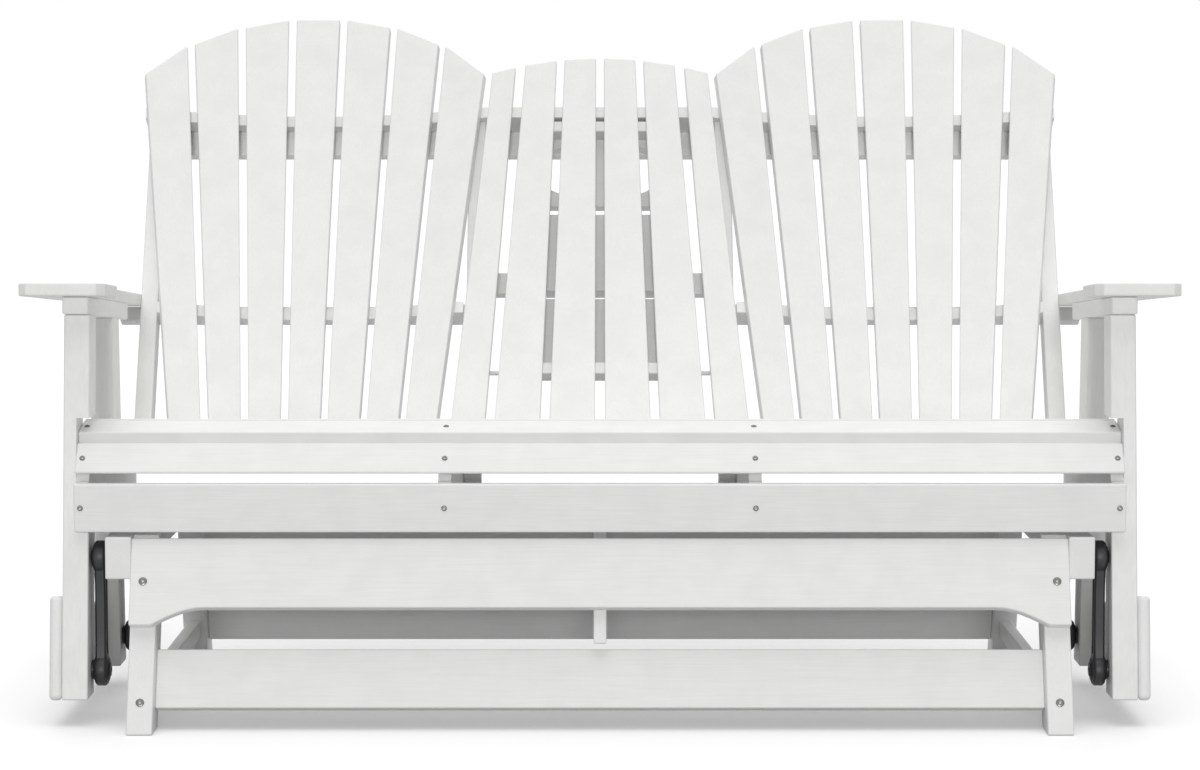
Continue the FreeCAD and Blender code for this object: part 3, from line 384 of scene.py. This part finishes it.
@dataclass
class FastenerTree:
    """Geometry tree that sets one fastener on every point, turned to face out and spun at random."""

    name: str
    seed: int = 7
    tree: bpy.types.NodeTree = field(init=False)

    def __post_init__(self) -> None:
        """Build the tree with named inputs."""
        tree = bpy.data.node_groups.new(self.name, "GeometryNodeTree")
        sockets = (
            ("Points", "NodeSocketGeometry"), ("Fastener", "NodeSocketObject"),
            ("Finish", "NodeSocketMaterial"), ("Most spin", "NodeSocketFloat"), ("Seed", "NodeSocketInt"),
        )
        for label, kind in sockets:
            tree.interface.new_socket(label, in_out="INPUT", socket_type=kind)
        tree.interface.new_socket("Fasteners", in_out="OUTPUT", socket_type="NodeSocketGeometry")
        given = add_node(tree, "NodeGroupInput").outputs
        facing = add_node(tree, "GeometryNodeInputNamedAttribute", {
            "Name": "facing",
        }, data_type="FLOAT_VECTOR")
        aimed = add_node(tree, "FunctionNodeAlignRotationToVector", {
            "Vector": facing.outputs["Attribute"],
        }, axis="Z")
        chance = add_node(tree, "FunctionNodeRandomValue", {
            "Max": given["Most spin"], "Seed": given["Seed"],
        }, data_type="FLOAT")
        spin = add_node(tree, "FunctionNodeAxisAngleToRotation", {
            "Axis": (0.0, 0.0, 1.0), "Angle": chance.outputs["Value"],
        })
        turned = add_node(tree, "FunctionNodeRotateRotation", {
            "Rotation": aimed.outputs[0], "Rotate By": spin.outputs[0],
        }, rotation_space="LOCAL")
        shape = add_node(tree, "GeometryNodeObjectInfo", {"Object": given["Fastener"]})
        placed = add_node(tree, "GeometryNodeInstanceOnPoints", {
            "Points": given["Points"], "Instance": shape.outputs["Geometry"], "Rotation": turned.outputs[0],
        })
        real = add_node(tree, "GeometryNodeRealizeInstances", {"Geometry": placed.outputs[0]})
        dressed = add_node(tree, "GeometryNodeSetMaterial", {
            "Geometry": real.outputs[0], "Material": given["Finish"],
        })
        add_node(tree, "NodeGroupOutput", {0: dressed.outputs[0]})
        self.tree = tree

    def identifier(self, label: str) -> str:
        """Find the identifier of an input socket.

        Args:
            label: Name that the socket shows.

        Returns:
            Key of the socket in a modifier.
        """
        items = self.tree.interface.items_tree
        return next(item.identifier for item in items if item.name == label and item.in_out == "INPUT")

    def place(self, name: str, spots: list[Spot], shape: bpy.types.Mesh, finish: bpy.types.Material,
              spin: float) -> bpy.types.Object:
        """Set a fastener on every spot.

        Args:
            name: Name of the new piece.
            spots: Where the fasteners go.
            shape: The fastener, with its seat at the origin and its head along Z.
            finish: Its material.
            spin: Largest random turn about its own axis, in radians.

        Returns:
            One plain mesh object that holds all of them.
        """
        mesh = bpy.data.meshes.new(f"{name}_points")
        mesh.from_pydata([spot.point for spot in spots], [], [])
        facing = mesh.attributes.new("facing", "FLOAT_VECTOR", "POINT")
        for at, spot in enumerate(spots):
            facing.data[at].vector = spot.facing
        pattern = link_object(f"{name}_pattern", shape)
        carrier = link_object(f"{name}_carrier", mesh)
        modifier = carrier.modifiers.new("fasteners", "NODES")
        modifier.node_group = self.tree
        values = (("Fastener", pattern), ("Finish", finish), ("Most spin", spin), ("Seed", self.seed))
        for label, value in values:
            modifier[self.identifier(label)] = value
        graph = bpy.context.evaluated_depsgraph_get()
        made = bpy.data.meshes.new_from_object(carrier.evaluated_get(graph), depsgraph=graph)
        made.name = name
        carrier.modifiers.remove(modifier)
        for extra in (carrier, pattern):
            bpy.data.objects.remove(extra)
        return link_object(name, made)


@dataclass
class Finishes:
    """All the finishes of the loveseat, built once."""

    lumber: dict[Grain, bpy.types.Material] = field(init=False)
    cast: bpy.types.Material = field(init=False)
    nylon: bpy.types.Material = field(init=False)
    steel: bpy.types.Material = field(init=False)
    blackened: bpy.types.Material = field(init=False)
    coated: bpy.types.Material = field(init=False)

    def __post_init__(self) -> None:
        """Build every material."""
        self.lumber = {grain: LumberFinish(grain).build() for grain in Grain}
        self.cast = CastFinish().build()
        # Moulded nylon bushes: plain black, duller than the coated arms.
        self.nylon = CastFinish("moulded_black_nylon", "#171718", "#222223", 3.0, 0.55).build()
        self.steel = SteelFinish().build()
        # The pivot bolts are as dark as the arms that they hold.
        self.blackened = CastFinish("blackened_steel", "#1D1E20", "#2B2C2E", 1.8, 0.34).build()
        # The console's pins are coated white like the boards round them.
        self.coated = CastFinish("white_powder_coat", "#EDEDEB", "#E4E4E2", 2.2, 0.4).build()


@dataclass
class Layout:
    """Sizes that several sub-assemblies share, in millimetres, from the apron slat's front face."""

    depth_middle: float = 400.53
    board: float = 19.0

    def point(self, x: float, y: float, z: float) -> Vector:
        """Bring a point into the object's own frame.

        Args:
            x: Distance across the seat.
            y: Distance behind the apron slat's front face.
            z: Height above the floor.

        Returns:
            The point, in metres.
        """
        return Vector((x, y - self.depth_middle, z)) * MM

    def on_board(self, x: float, foot: tuple[float, float], tilt: float, up: float, out: float) -> Spot:
        """Find a spot on the face of a leaning board.

        Args:
            x: Distance across the seat.
            foot: Depth and height of the board's reference edge.
            tilt: Lean of the board back from upright, in degrees.
            up: Distance along the board from that edge.
            out: Distance in front of the reference plane.

        Returns:
            The spot, facing out of the board.
        """
        sine, cosine = math.sin(math.radians(tilt)), math.cos(math.radians(tilt))
        y = foot[0] + up * sine - out * cosine
        z = foot[1] + up * cosine + out * sine
        return Spot(self.point(x, y, z), Vector((0.0, -cosine, sine)))


@dataclass
class Dresser:
    """What every sub-assembly needs to dress its nodes and add its pieces."""

    nodes: dict[str, bpy.types.Object]
    finishes: Finishes
    layout: Layout
    fasteners: FastenerTree

    def paint(self, name: str, finish: bpy.types.Material) -> None:
        """Give a CAD node one finish in place of any that it has.

        Args:
            name: Node to finish.
            finish: Its material.
        """
        slots = self.nodes[name].data.materials
        slots.clear()
        slots.append(finish)
        LOG.info("%s: %s", name, finish.name)

    def lumber(self, grain: Grain, *names: str) -> None:
        """Give CAD boards the lumber finish with its grain along them.

        Args:
            grain: Way that the grain runs.
            names: Nodes of the boards.
        """
        for name in names:
            self.paint(name, self.finishes.lumber[grain])

    def fit(self, piece: bpy.types.Object, body: str, slot: str, *replaced: str) -> None:
        """Let a new piece stand for CAD nodes and move with their body.

        Args:
            piece: Finished object at the origin.
            body: Body that it moves with.
            slot: Material slot of the record; not used.
            replaced: Nodes that it stands for.
        """
        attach(piece, body)
        if replaced:
            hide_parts(*replaced)
        LOG.info("%s: %d faces, on %s", piece.name, len(piece.data.polygons), body)


@dataclass
class ScrewShape:
    """Pan-head stainless screw with a six-lobed recess, and its plain shank."""

    head_radius: float
    head_tall: float = 1.6
    shank_radius: float = 2.4
    shank_long: float = 32.0
    tip_long: float = 4.0
    tip_share: float = 0.3
    seat_share: float = 0.97
    rim_tall: float = 0.35
    dome: tuple[tuple[float, float], ...] = ((0.9, 0.72), (0.68, 0.95))
    recess: float = 2.1
    recess_lip: float = 0.55
    recess_break: float = 0.12
    recess_foot_share: float = 0.92
    recess_deep: float = 1.6
    recess_point: float = 0.2
    lobes: tuple[float, float] = (0.45, 0.42)
    sides: int = 24

    def mesh(self) -> bpy.types.Mesh:
        """Build the screw.

        Returns:
            Mesh with the underside of the head at the origin.
        """
        top = self.head_tall
        rim = self.head_radius
        profile = [
            (self.shank_radius * self.tip_share, -self.shank_long),
            (self.shank_radius, -self.shank_long + self.tip_long),
            (self.shank_radius, 0.0),
            (rim * self.seat_share, 0.0),
            (rim, self.rim_tall),
            *((rim * out, top * up) for out, up in self.dome),
            (self.recess + self.recess_lip, top),
            (self.recess, top - self.recess_break),
            (self.recess * self.recess_foot_share, -self.recess_deep),
            (self.recess * self.tip_share, -self.recess_deep - self.recess_point),
        ]
        return turned_mesh("pan_head_screw", profile, self.sides, recess_lobes(profile, *self.lobes))


@dataclass
class Base:
    """Splayed base that stands on the floor."""

    leg_middle: float = 666.0
    leg_foot: tuple[float, float] = (-79.0, 0.0)
    leg_tilt: float = 21.3
    apron_low: float = 155.5
    apron_top: float = 277.0
    stretcher_low: float = 34.0
    screw: ScrewShape = field(default_factory=lambda: ScrewShape(6.2))

    def dress(self, dresser: Dresser) -> None:
        """Finish the boards and drive the screws.

        Args:
            dresser: Nodes, finishes and shared sizes.
        """
        dresser.lumber(Grain.ACROSS, "base_front_apron", "base_rear_apron", "base_front_stretcher",
                       "base_rear_stretcher")
        dresser.lumber(Grain.UPRIGHT, *(f"base_{end}_leg_{side}" for end in ("front", "rear")
                                        for side in ("left", "right")))
        dresser.lumber(Grain.DEEP, "base_centre_rail",
                       *(f"base_{level}_rail_{side}" for level in ("upper", "lower")
                         for side in ("left", "right")))
        screws = dresser.fasteners.place("base_screw_set", self.spots(dresser.layout), self.screw.mesh(),
                                         dresser.finishes.steel, math.tau)
        dresser.fit(screws, "base", "steel", "base_screws")

    def spots(self, layout: Layout) -> list[Spot]:
        """Places of the screws in the front apron and the front legs.

        Args:
            layout: Shared sizes.

        Returns:
            Spots on both sides.
        """
        sine, cosine = math.sin(math.radians(self.leg_tilt)), math.cos(math.radians(self.leg_tilt))
        low = (self.apron_low - layout.board * sine) / cosine
        apron = low + (self.apron_top - self.apron_low) / cosine / 2
        leg = self.stretcher_low / cosine + 2 * self.screw.head_radius
        found = []
        for x in (-self.leg_middle, self.leg_middle):
            found.append(layout.on_board(x, self.leg_foot, self.leg_tilt, apron, layout.board))
            found.append(layout.on_board(x, self.leg_foot, self.leg_tilt, leg, 0.0))
        return found


@dataclass
class Linkage:
    """Four cast arms that carry the seat, with their bushes and pivot bolts."""

    low: float = 78.0
    long: float = 167.5
    depths: tuple[tuple[str, float], ...] = (("front", 38.0), ("rear", 368.0))
    inner: float = 724.3
    eye_thick: float = 20.0
    eye_radius: float = 24.0
    eye_lip: float = 0.6
    eye_step: float = 0.8
    eye_draft: float = 0.1
    eye_chamfer: float = 3.0
    eye_break: float = 0.2
    eye_sides: int = 48
    bush_radius: float = 10.0
    bush_clear: float = 0.1
    bush_break: float = 0.5
    bush_sides: int = 40
    flange: float = 0.9
    flange_radius: float = 17.0
    flange_break: float = 0.7
    gap: float = 0.4
    bar_thick: float = 16.0
    rear_bar_thick: float = 12.0
    bar_wide: float = 30.0
    bar_overlap: float = 8.0
    bar_chamfer: float = 2.6
    channel_deep: float = 1.8
    channel_margin: float = 5.5
    channel_flank: float = 2.0
    # Shares of the bar's length, each with the share of its full width there
    waist: tuple[tuple[float, float], ...] = (
        (0.0, 1.0), (0.07, 0.96), (0.16, 0.84), (0.3, 0.8),
        (0.7, 0.8), (0.84, 0.84), (0.93, 0.96), (1.0, 1.0),
    )
    crisp: float = 28.0
    bolt: float = 5.0
    bolt_break: float = 0.8
    bolt_sides: int = 36
    head_radius: float = 11.0
    head_tall: float = 2.4
    head_break: float = 0.3
    head_rim: float = 0.4
    dome: tuple[tuple[float, float], ...] = ((0.93, 0.75), (0.72, 1.0))
    recess: float = 3.6
    recess_taper: float = 0.2
    recess_point: float = 1.0
    recess_break: float = 0.1
    recess_foot: float = 0.5
    lobes: tuple[float, float] = (0.55, 0.5)
    rail_inner: float = 685.0
    post_inner: float = 749.0
    post_outer: float = 787.0
    washer: float = 14.0
    washer_break: float = 0.5

    @property
    def middle(self) -> float:
        """Distance of the arms' middle from the middle of the seat."""
        return self.inner + self.eye_thick / 2

    def eye_profile(self) -> Profile:
        """Closed section of an eye, with chamfered corners and a raised lip round the bush."""
        half = self.eye_thick / 2
        rim = self.eye_radius
        lip = self.flange_radius + self.eye_lip
        web = half - self.eye_step - self.eye_draft
        edge = web - self.eye_chamfer - self.eye_draft
        side = [
            (self.bush_radius, half),
            (lip, half),
            (lip + self.eye_step, half - self.eye_step),
            (rim - self.eye_break - self.eye_chamfer, web),
            (rim - self.eye_break, edge),
            (rim, edge - 2 * self.eye_break),
        ]
        ring = side + [(radius, -height) for radius, height in side[::-1]]
        return ring + [ring[0]]

    def bar(self, name: str, thick: float, shift: float) -> bpy.types.Mesh:
        """Build the bar between the eyes, waisted and chamfered, with a shallow channel in each face.

        Args:
            name: Name of the new mesh.
            thick: Thickness across the seat.
            shift: Distance of its middle from the middle of the eyes, across the seat.

        Returns:
            Closed mesh that runs along Z from the lower pivot.
        """
        bm = bmesh.new()
        rings = []
        start = self.eye_radius - self.bar_overlap
        stop = self.long - self.eye_radius + self.bar_overlap
        half_x = thick / 2
        for part, share in self.waist:
            half_y = self.bar_wide / 2 * share
            lip = half_y - self.channel_margin
            quarter = [
                (half_x - self.channel_deep, lip - self.channel_flank),
                (half_x, lip),
                (half_x, half_y - self.bar_chamfer),
                (half_x - self.bar_chamfer, half_y),
            ]
            loop = quarter + [(-x, y) for x, y in quarter[::-1]]
            loop += [(-x, -y) for x, y in quarter] + [(x, -y) for x, y in quarter[::-1]]
            height = start + (stop - start) * part
            rings.append([bm.verts.new(((x + shift) * MM, y * MM, height * MM)) for x, y in loop])
        ring_faces(bm, rings, False)
        bm.faces.new(rings[0][::-1])
        bm.faces.new(rings[-1])
        return finish_mesh(bm, name, self.crisp)

    def arm(self, name: str, side: int, end: tuple[float, float], layout: Layout,
            finish: bpy.types.Material) -> bpy.types.Object:
        """Build one arm in place.

        Args:
            name: Name of the new piece.
            side: Left is -1 and right is 1.
            end: Depth of its pivots and thickness of its bar. A thin bar lies at the inner side of the eyes.
            layout: Shared sizes.
            finish: Its material.

        Returns:
            The arm, at the origin with its place in its mesh.
        """
        y, thick = end
        bm = bmesh.new()
        upright = Matrix.Rotation(math.radians(90), 4, "Y")
        for height in (0.0, self.long):
            eye = turned_mesh(f"{name}_eye", self.eye_profile(), self.eye_sides)
            eye.transform(Matrix.Translation((0.0, 0.0, height * MM)) @ upright)
            bm.from_mesh(eye)
            bpy.data.meshes.remove(eye)
        shift = 0.0 if thick == self.bar_thick else -side * (self.eye_thick - thick) / 2
        bar = self.bar(f"{name}_bar", thick, shift)
        bm.from_mesh(bar)
        bpy.data.meshes.remove(bar)
        mesh = finish_mesh(bm, name, self.crisp)
        mesh.transform(Matrix.Translation(layout.point(side * self.middle, y, self.low)))
        mesh.materials.append(finish)
        return link_object(name, mesh)

    def bush(self) -> bpy.types.Mesh:
        """Flanged bush whose middle is at the origin, with softened rims."""
        half = self.eye_thick / 2 + self.flange
        inner = self.eye_thick / 2
        bore = self.bolt + self.bush_clear
        rim = self.flange_radius
        side = [
            (bore, half - self.bush_break),
            (bore + self.bush_break, half),
            (rim - self.flange_break, half),
            (rim, half - self.flange_break),
            (rim, inner),
            (self.bush_radius, inner),
        ]
        ring = side + [(radius, -height) for radius, height in side[::-1]]
        return turned_mesh("flanged_bush", ring + [ring[0]], self.bush_sides)

    def upper_bolt(self) -> bpy.types.Mesh:
        """Pivot bolt in the base rail, with the underside of its head at the origin."""
        reach = self.inner + self.eye_thick + self.flange + self.gap - self.rail_inner
        return self.bolt_mesh("upper_pivot_bolt", self.bolt_tip(reach))

    def lower_bolt(self) -> bpy.types.Mesh:
        """Pivot bolt through the post, with a washer against it, from the underside of its head."""
        head_at = self.inner - self.flange - self.gap
        near = self.inner + self.eye_thick + self.flange + self.gap - head_at
        far = self.post_inner - head_at
        end = self.post_outer - head_at
        shaft = [
            *self.bolt_tip(end),
            (self.bolt, -far),
            (self.washer - self.washer_break, -far),
            (self.washer, -far + self.washer_break),
            (self.washer, -near - self.washer_break),
            (self.washer - self.washer_break, -near),
            (self.bolt, -near),
        ]
        return self.bolt_mesh("lower_pivot_bolt", shaft)

    def bolt_tip(self, reach: float) -> Profile:
        """Chamfered tip of a bolt.

        Args:
            reach: Length of the bolt under its head.

        Returns:
            Rings at its tip.
        """
        return [(self.bolt - self.bolt_break, -reach), (self.bolt, -reach + self.bolt_break)]

    def bolt_mesh(self, name: str, shaft: Profile) -> bpy.types.Mesh:
        """Turn a bolt.

        Args:
            name: Name of the new mesh.
            shaft: Rings from its tip to the underside of its head.

        Returns:
            Mesh with the underside of the head at the origin.
        """
        profile = [*shaft, *self.head()]
        return turned_mesh(name, profile, self.bolt_sides, recess_lobes(profile, *self.lobes))

    def head(self) -> Profile:
        """Low round head with a six-lobed recess, from the shaft up."""
        rim, top = self.head_radius, self.head_tall
        return [
            (self.bolt, 0.0),
            (rim - self.head_break, 0.0),
            (rim, self.head_rim),
            *((rim * out, top * up) for out, up in self.dome),
            (self.recess, top - self.recess_break),
            (self.recess - self.recess_taper, self.recess_foot),
            (self.recess_point, self.recess_foot - self.recess_break),
        ]

    def dress(self, dresser: Dresser) -> None:
        """Replace the plain solids of the linkage with finished hardware.

        Args:
            dresser: Nodes, finishes and shared sizes.
        """
        layout, top = dresser.layout, self.low + self.long
        upper, lower = [], []
        for end, y in self.depths:
            bushes = []
            for side_name, side in (("left", -1), ("right", 1)):
                node = f"{end}_link_{side_name}"
                thick = self.bar_thick if end == "front" else self.rear_bar_thick
                arm = self.arm(f"{end}_arm_{side_name}", side, (y, thick), layout, dresser.finishes.cast)
                dresser.fit(arm, f"{end}_links", "link", node)
                outward = Vector((side, 0.0, 0.0))
                outer_head = self.inner + self.eye_thick + self.flange + self.gap
                inner_head = self.inner - self.flange - self.gap
                bushes += [Spot(layout.point(side * self.middle, y, z), outward) for z in (self.low, top)]
                upper.append(Spot(layout.point(side * outer_head, y, top), outward))
                lower.append(Spot(layout.point(side * inner_head, y, self.low), -outward))
            bush_set = dresser.fasteners.place(f"{end}_bush_set", bushes, self.bush(),
                                               dresser.finishes.nylon, 0.0)
            dresser.fit(bush_set, f"{end}_links", "bearing", f"{end}_link_bearings")
        rows = (("base", upper, self.upper_bolt()), ("seat", lower, self.lower_bolt()))
        for body, spots, shape in rows:
            bolts = dresser.fasteners.place(f"{body}_bolt_set", spots, shape,
                                            dresser.finishes.blackened, math.tau)
            dresser.fit(bolts, body, "steel", f"{body}_pivot_bolts")


@dataclass
class Seat:
    """Seat frame with its slats, posts, arms and side boards."""

    screw_columns: tuple[float, ...] = (-758.5, -227.5, 227.5, 758.5)
    apron_middle: float = 321.5
    low_nose: tuple[float, float] = (11.9, 370.6)
    low_nose_tilt: float = 36.8
    low_nose_wide: float = 53.5
    nose: tuple[float, float] = (53.35, 428.04)
    nose_rise: float = 12.0
    nose_wide: float = 58.0
    nose_screw_up: float = 28.0
    step: float = 2.2
    slope: float = 8.5
    slat_wide: float = 64.0
    slat_gap: float = 8.0
    slat_count: int = 5
    screw: ScrewShape = field(default_factory=lambda: ScrewShape(4.2, recess=1.7))

    def dress(self, dresser: Dresser) -> None:
        """Finish the boards and drive the screws.

        Args:
            dresser: Nodes, finishes and shared sizes.
        """
        dresser.lumber(Grain.ACROSS, "seat_apron_slat", "seat_lower_nose_slat", "seat_nose_slat",
                       "seat_slats")
        for side in ("left", "right"):
            dresser.lumber(Grain.DEEP, f"outer_support_{side}", f"inner_support_{side}", f"side_board_{side}",
                           f"arm_rail_{side}", f"arm_{side}")
            dresser.lumber(Grain.UPRIGHT, f"front_post_{side}", f"rear_post_{side}")
        screws = dresser.fasteners.place("seat_screw_set", self.spots(dresser.layout), self.screw.mesh(),
                                         dresser.finishes.steel, math.tau)
        dresser.fit(screws, "seat", "steel", "seat_screws")

    def spots(self, layout: Layout) -> list[Spot]:
        """Places of the screws where the slats cross the supports.

        Args:
            layout: Shared sizes.

        Returns:
            Spots on every slat.
        """
        rise = math.radians(self.nose_rise)
        seat = (self.nose[0] + layout.board * math.sin(rise) + self.nose_wide * math.cos(rise),
                self.nose[1] - layout.board * math.cos(rise) + self.nose_wide * math.sin(rise) + self.step)
        found = []
        for x in self.screw_columns:
            found.append(Spot(layout.point(x, 0.0, self.apron_middle), Vector((0.0, -1.0, 0.0))))
            found.append(layout.on_board(x, self.low_nose, self.low_nose_tilt, self.low_nose_wide / 2, 0.0))
            found.append(layout.on_board(x, self.nose, 90 - self.nose_rise, self.nose_screw_up, 0.0))
            for at in range(self.slat_count):
                up = self.slat_gap + at * (self.slat_wide + self.slat_gap) + self.slat_wide / 2
                found.append(layout.on_board(x, seat, 90 + self.slope, up, layout.board))
        return found


@dataclass
class Back:
    """Reclined back: uprights, rails, contoured supports and the fans."""

    def dress(self, dresser: Dresser) -> None:
        """Finish the boards.

        Args:
            dresser: Nodes, finishes and shared sizes.
        """
        dresser.lumber(Grain.RECLINED, "left_fan_slats", "right_fan_slats", "fixed_centre_slats",
                       *(f"{place}_upright_{side}" for place in ("outer", "inner")
                         for side in ("left", "right")))
        dresser.lumber(Grain.ACROSS, "upper_back_rail", "contoured_back_support", "lower_back_rails",
                       "lower_back_supports", "foot_supports", "mid_back_rail")


@dataclass
class Console:
    """Middle of the back that folds down into a table with cup holes."""

    def dress(self, dresser: Dresser) -> None:
        """Finish the boards and the pins.

        Args:
            dresser: Nodes, finishes and shared sizes.
        """
        dresser.lumber(Grain.RECLINED, "console_slats", "console_side_frames")
        dresser.lumber(Grain.ACROSS, "console_cup_board", "console_boards", "console_hinge_block")
        dresser.paint("console_pivot_pins", dresser.finishes.coated)


@dataclass(frozen=True)
class SoftLight:
    """Broad light at an angle above the floor in front, in degrees, so that over 90 it is behind."""

    name: str
    energy: float
    high: float
    spread: float
    place: tuple[float, float, float] = (0.0, -4.0, 4.0)

    def build(self) -> None:
        """Hang the light, clear of the object."""
        data = bpy.data.lights.new(self.name, "SUN")
        data.energy = self.energy
        data.angle = math.radians(self.spread)
        lamp = bpy.data.objects.new(self.name, data)
        lamp.location = self.place
        lamp.rotation_euler = (math.radians(90 - self.high), 0.0, 0.0)
        bpy.context.scene.collection.objects.link(lamp)


@dataclass
class Studio:
    """White studio with soft light, and the camera at the photograph's viewing angle."""

    camera_back: float = 5000.0
    camera_high: float = 915.0
    pitch: float = 4.722
    lens: float = 103.5
    sensor: float = 36.0
    farthest: float = 100.0
    floor_half: float = 60.0
    floor_paper: str = "#B4B4B4"
    floor_shown: str = "#F3F3F3"
    floor_glow: float = 0.25
    white: str = "#FFFFFF"
    ambient: float = 0.39
    lights: tuple[SoftLight, ...] = (
        SoftLight("overhead_key", 1.15, 80.0, 60.0),
        SoftLight("front_fill", 0.85, 9.0, 8.0),
        SoftLight("back_light", 0.55, 132.0, 40.0),
    )

    def camera(self, layout: Layout) -> None:
        """Set the camera.

        Args:
            layout: Shared sizes.
        """
        data = bpy.data.cameras.new("camera")
        data.lens = self.lens
        data.sensor_width = self.sensor
        data.clip_end = self.farthest
        camera = bpy.data.objects.new("camera", data)
        camera.location = layout.point(0.0, -self.camera_back, self.camera_high)
        camera.rotation_euler = (math.radians(90 - self.pitch), 0.0, 0.0)
        bpy.context.scene.collection.objects.link(camera)
        bpy.context.scene.camera = camera

    def seen_directly(self, tree: bpy.types.NodeTree) -> bpy.types.NodeSocket:
        """Factor that is one for rays that show the background: direct, glossy or through glass.

        Args:
            tree: Tree of the background's material or of the world.

        Returns:
            Socket with the factor.
        """
        path = add_node(tree, "ShaderNodeLightPath").outputs
        gloss = add_node(tree, "ShaderNodeMath", {
            0: path["Is Camera Ray"], 1: path["Is Glossy Ray"],
        }, operation="MAXIMUM")
        clear = add_node(tree, "ShaderNodeMath", {
            0: gloss.outputs[0], 1: path["Is Transmission Ray"],
        }, operation="MAXIMUM")
        return clear.outputs[0]

    def floor(self) -> None:
        """Lay a white floor that still takes the object's shadow."""
        bm = bmesh.new()
        bmesh.ops.create_grid(bm, x_segments=1, y_segments=1, size=self.floor_half)
        mesh = bpy.data.meshes.new("studio_floor")
        bm.to_mesh(mesh)
        bm.free()
        material = new_material("white_studio_floor")
        tree = material.node_tree
        paper = add_node(tree, "ShaderNodeBsdfDiffuse", {"Color": linear(self.floor_paper)})
        dim = add_node(tree, "ShaderNodeBsdfDiffuse", {"Color": linear(self.floor_shown)})
        glow = add_node(tree, "ShaderNodeEmission", {
            "Color": linear(self.white), "Strength": self.floor_glow,
        })
        bright = add_node(tree, "ShaderNodeAddShader", {0: dim.outputs[0], 1: glow.outputs[0]})
        shown = add_node(tree, "ShaderNodeMixShader", {
            0: self.seen_directly(tree), 1: paper.outputs[0], 2: bright.outputs[0],
        })
        add_node(tree, "ShaderNodeOutputMaterial", {"Surface": shown.outputs[0]})
        mesh.materials.append(material)
        link_object("studio_floor", mesh)

    def light(self) -> None:
        """Fill the room with even light, with broad lights overhead, in front and behind."""
        world = bpy.data.worlds.new("studio")
        world.use_nodes = True
        tree = world.node_tree
        tree.nodes.clear()
        fill = add_node(tree, "ShaderNodeBackground", {
            "Color": linear(self.white), "Strength": self.ambient,
        })
        white = add_node(tree, "ShaderNodeBackground", {"Color": linear(self.white), "Strength": 1.0})
        shown = add_node(tree, "ShaderNodeMixShader", {
            0: self.seen_directly(tree), 1: fill.outputs[0], 2: white.outputs[0],
        })
        add_node(tree, "ShaderNodeOutputWorld", {"Surface": shown.outputs[0]})
        bpy.context.scene.world = world
        for light in self.lights:
            light.build()

    def build(self, layout: Layout) -> None:
        """Set up camera, floor and light.

        Args:
            layout: Shared sizes.
        """
        self.camera(layout)
        self.floor()
        self.light()
        bpy.context.scene.view_settings.view_transform = "Standard"


def main() -> None:
    """Load the frame, dress every sub-assembly in order and light it."""
    logging.basicConfig(level=logging.INFO, format="%(name)s: %(message)s")
    for item in list(bpy.data.objects):
        bpy.data.objects.remove(item)
    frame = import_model()
    layout = Layout()
    Studio().build(layout)
    dresser = Dresser(frame["nodes"], Finishes(), layout, FastenerTree("fasteners_on_points"))
    for assembly in (Base(), Linkage(), Seat(), Back(), Console()):
        assembly.dress(dresser)


if __name__ == "__main__":
    main()
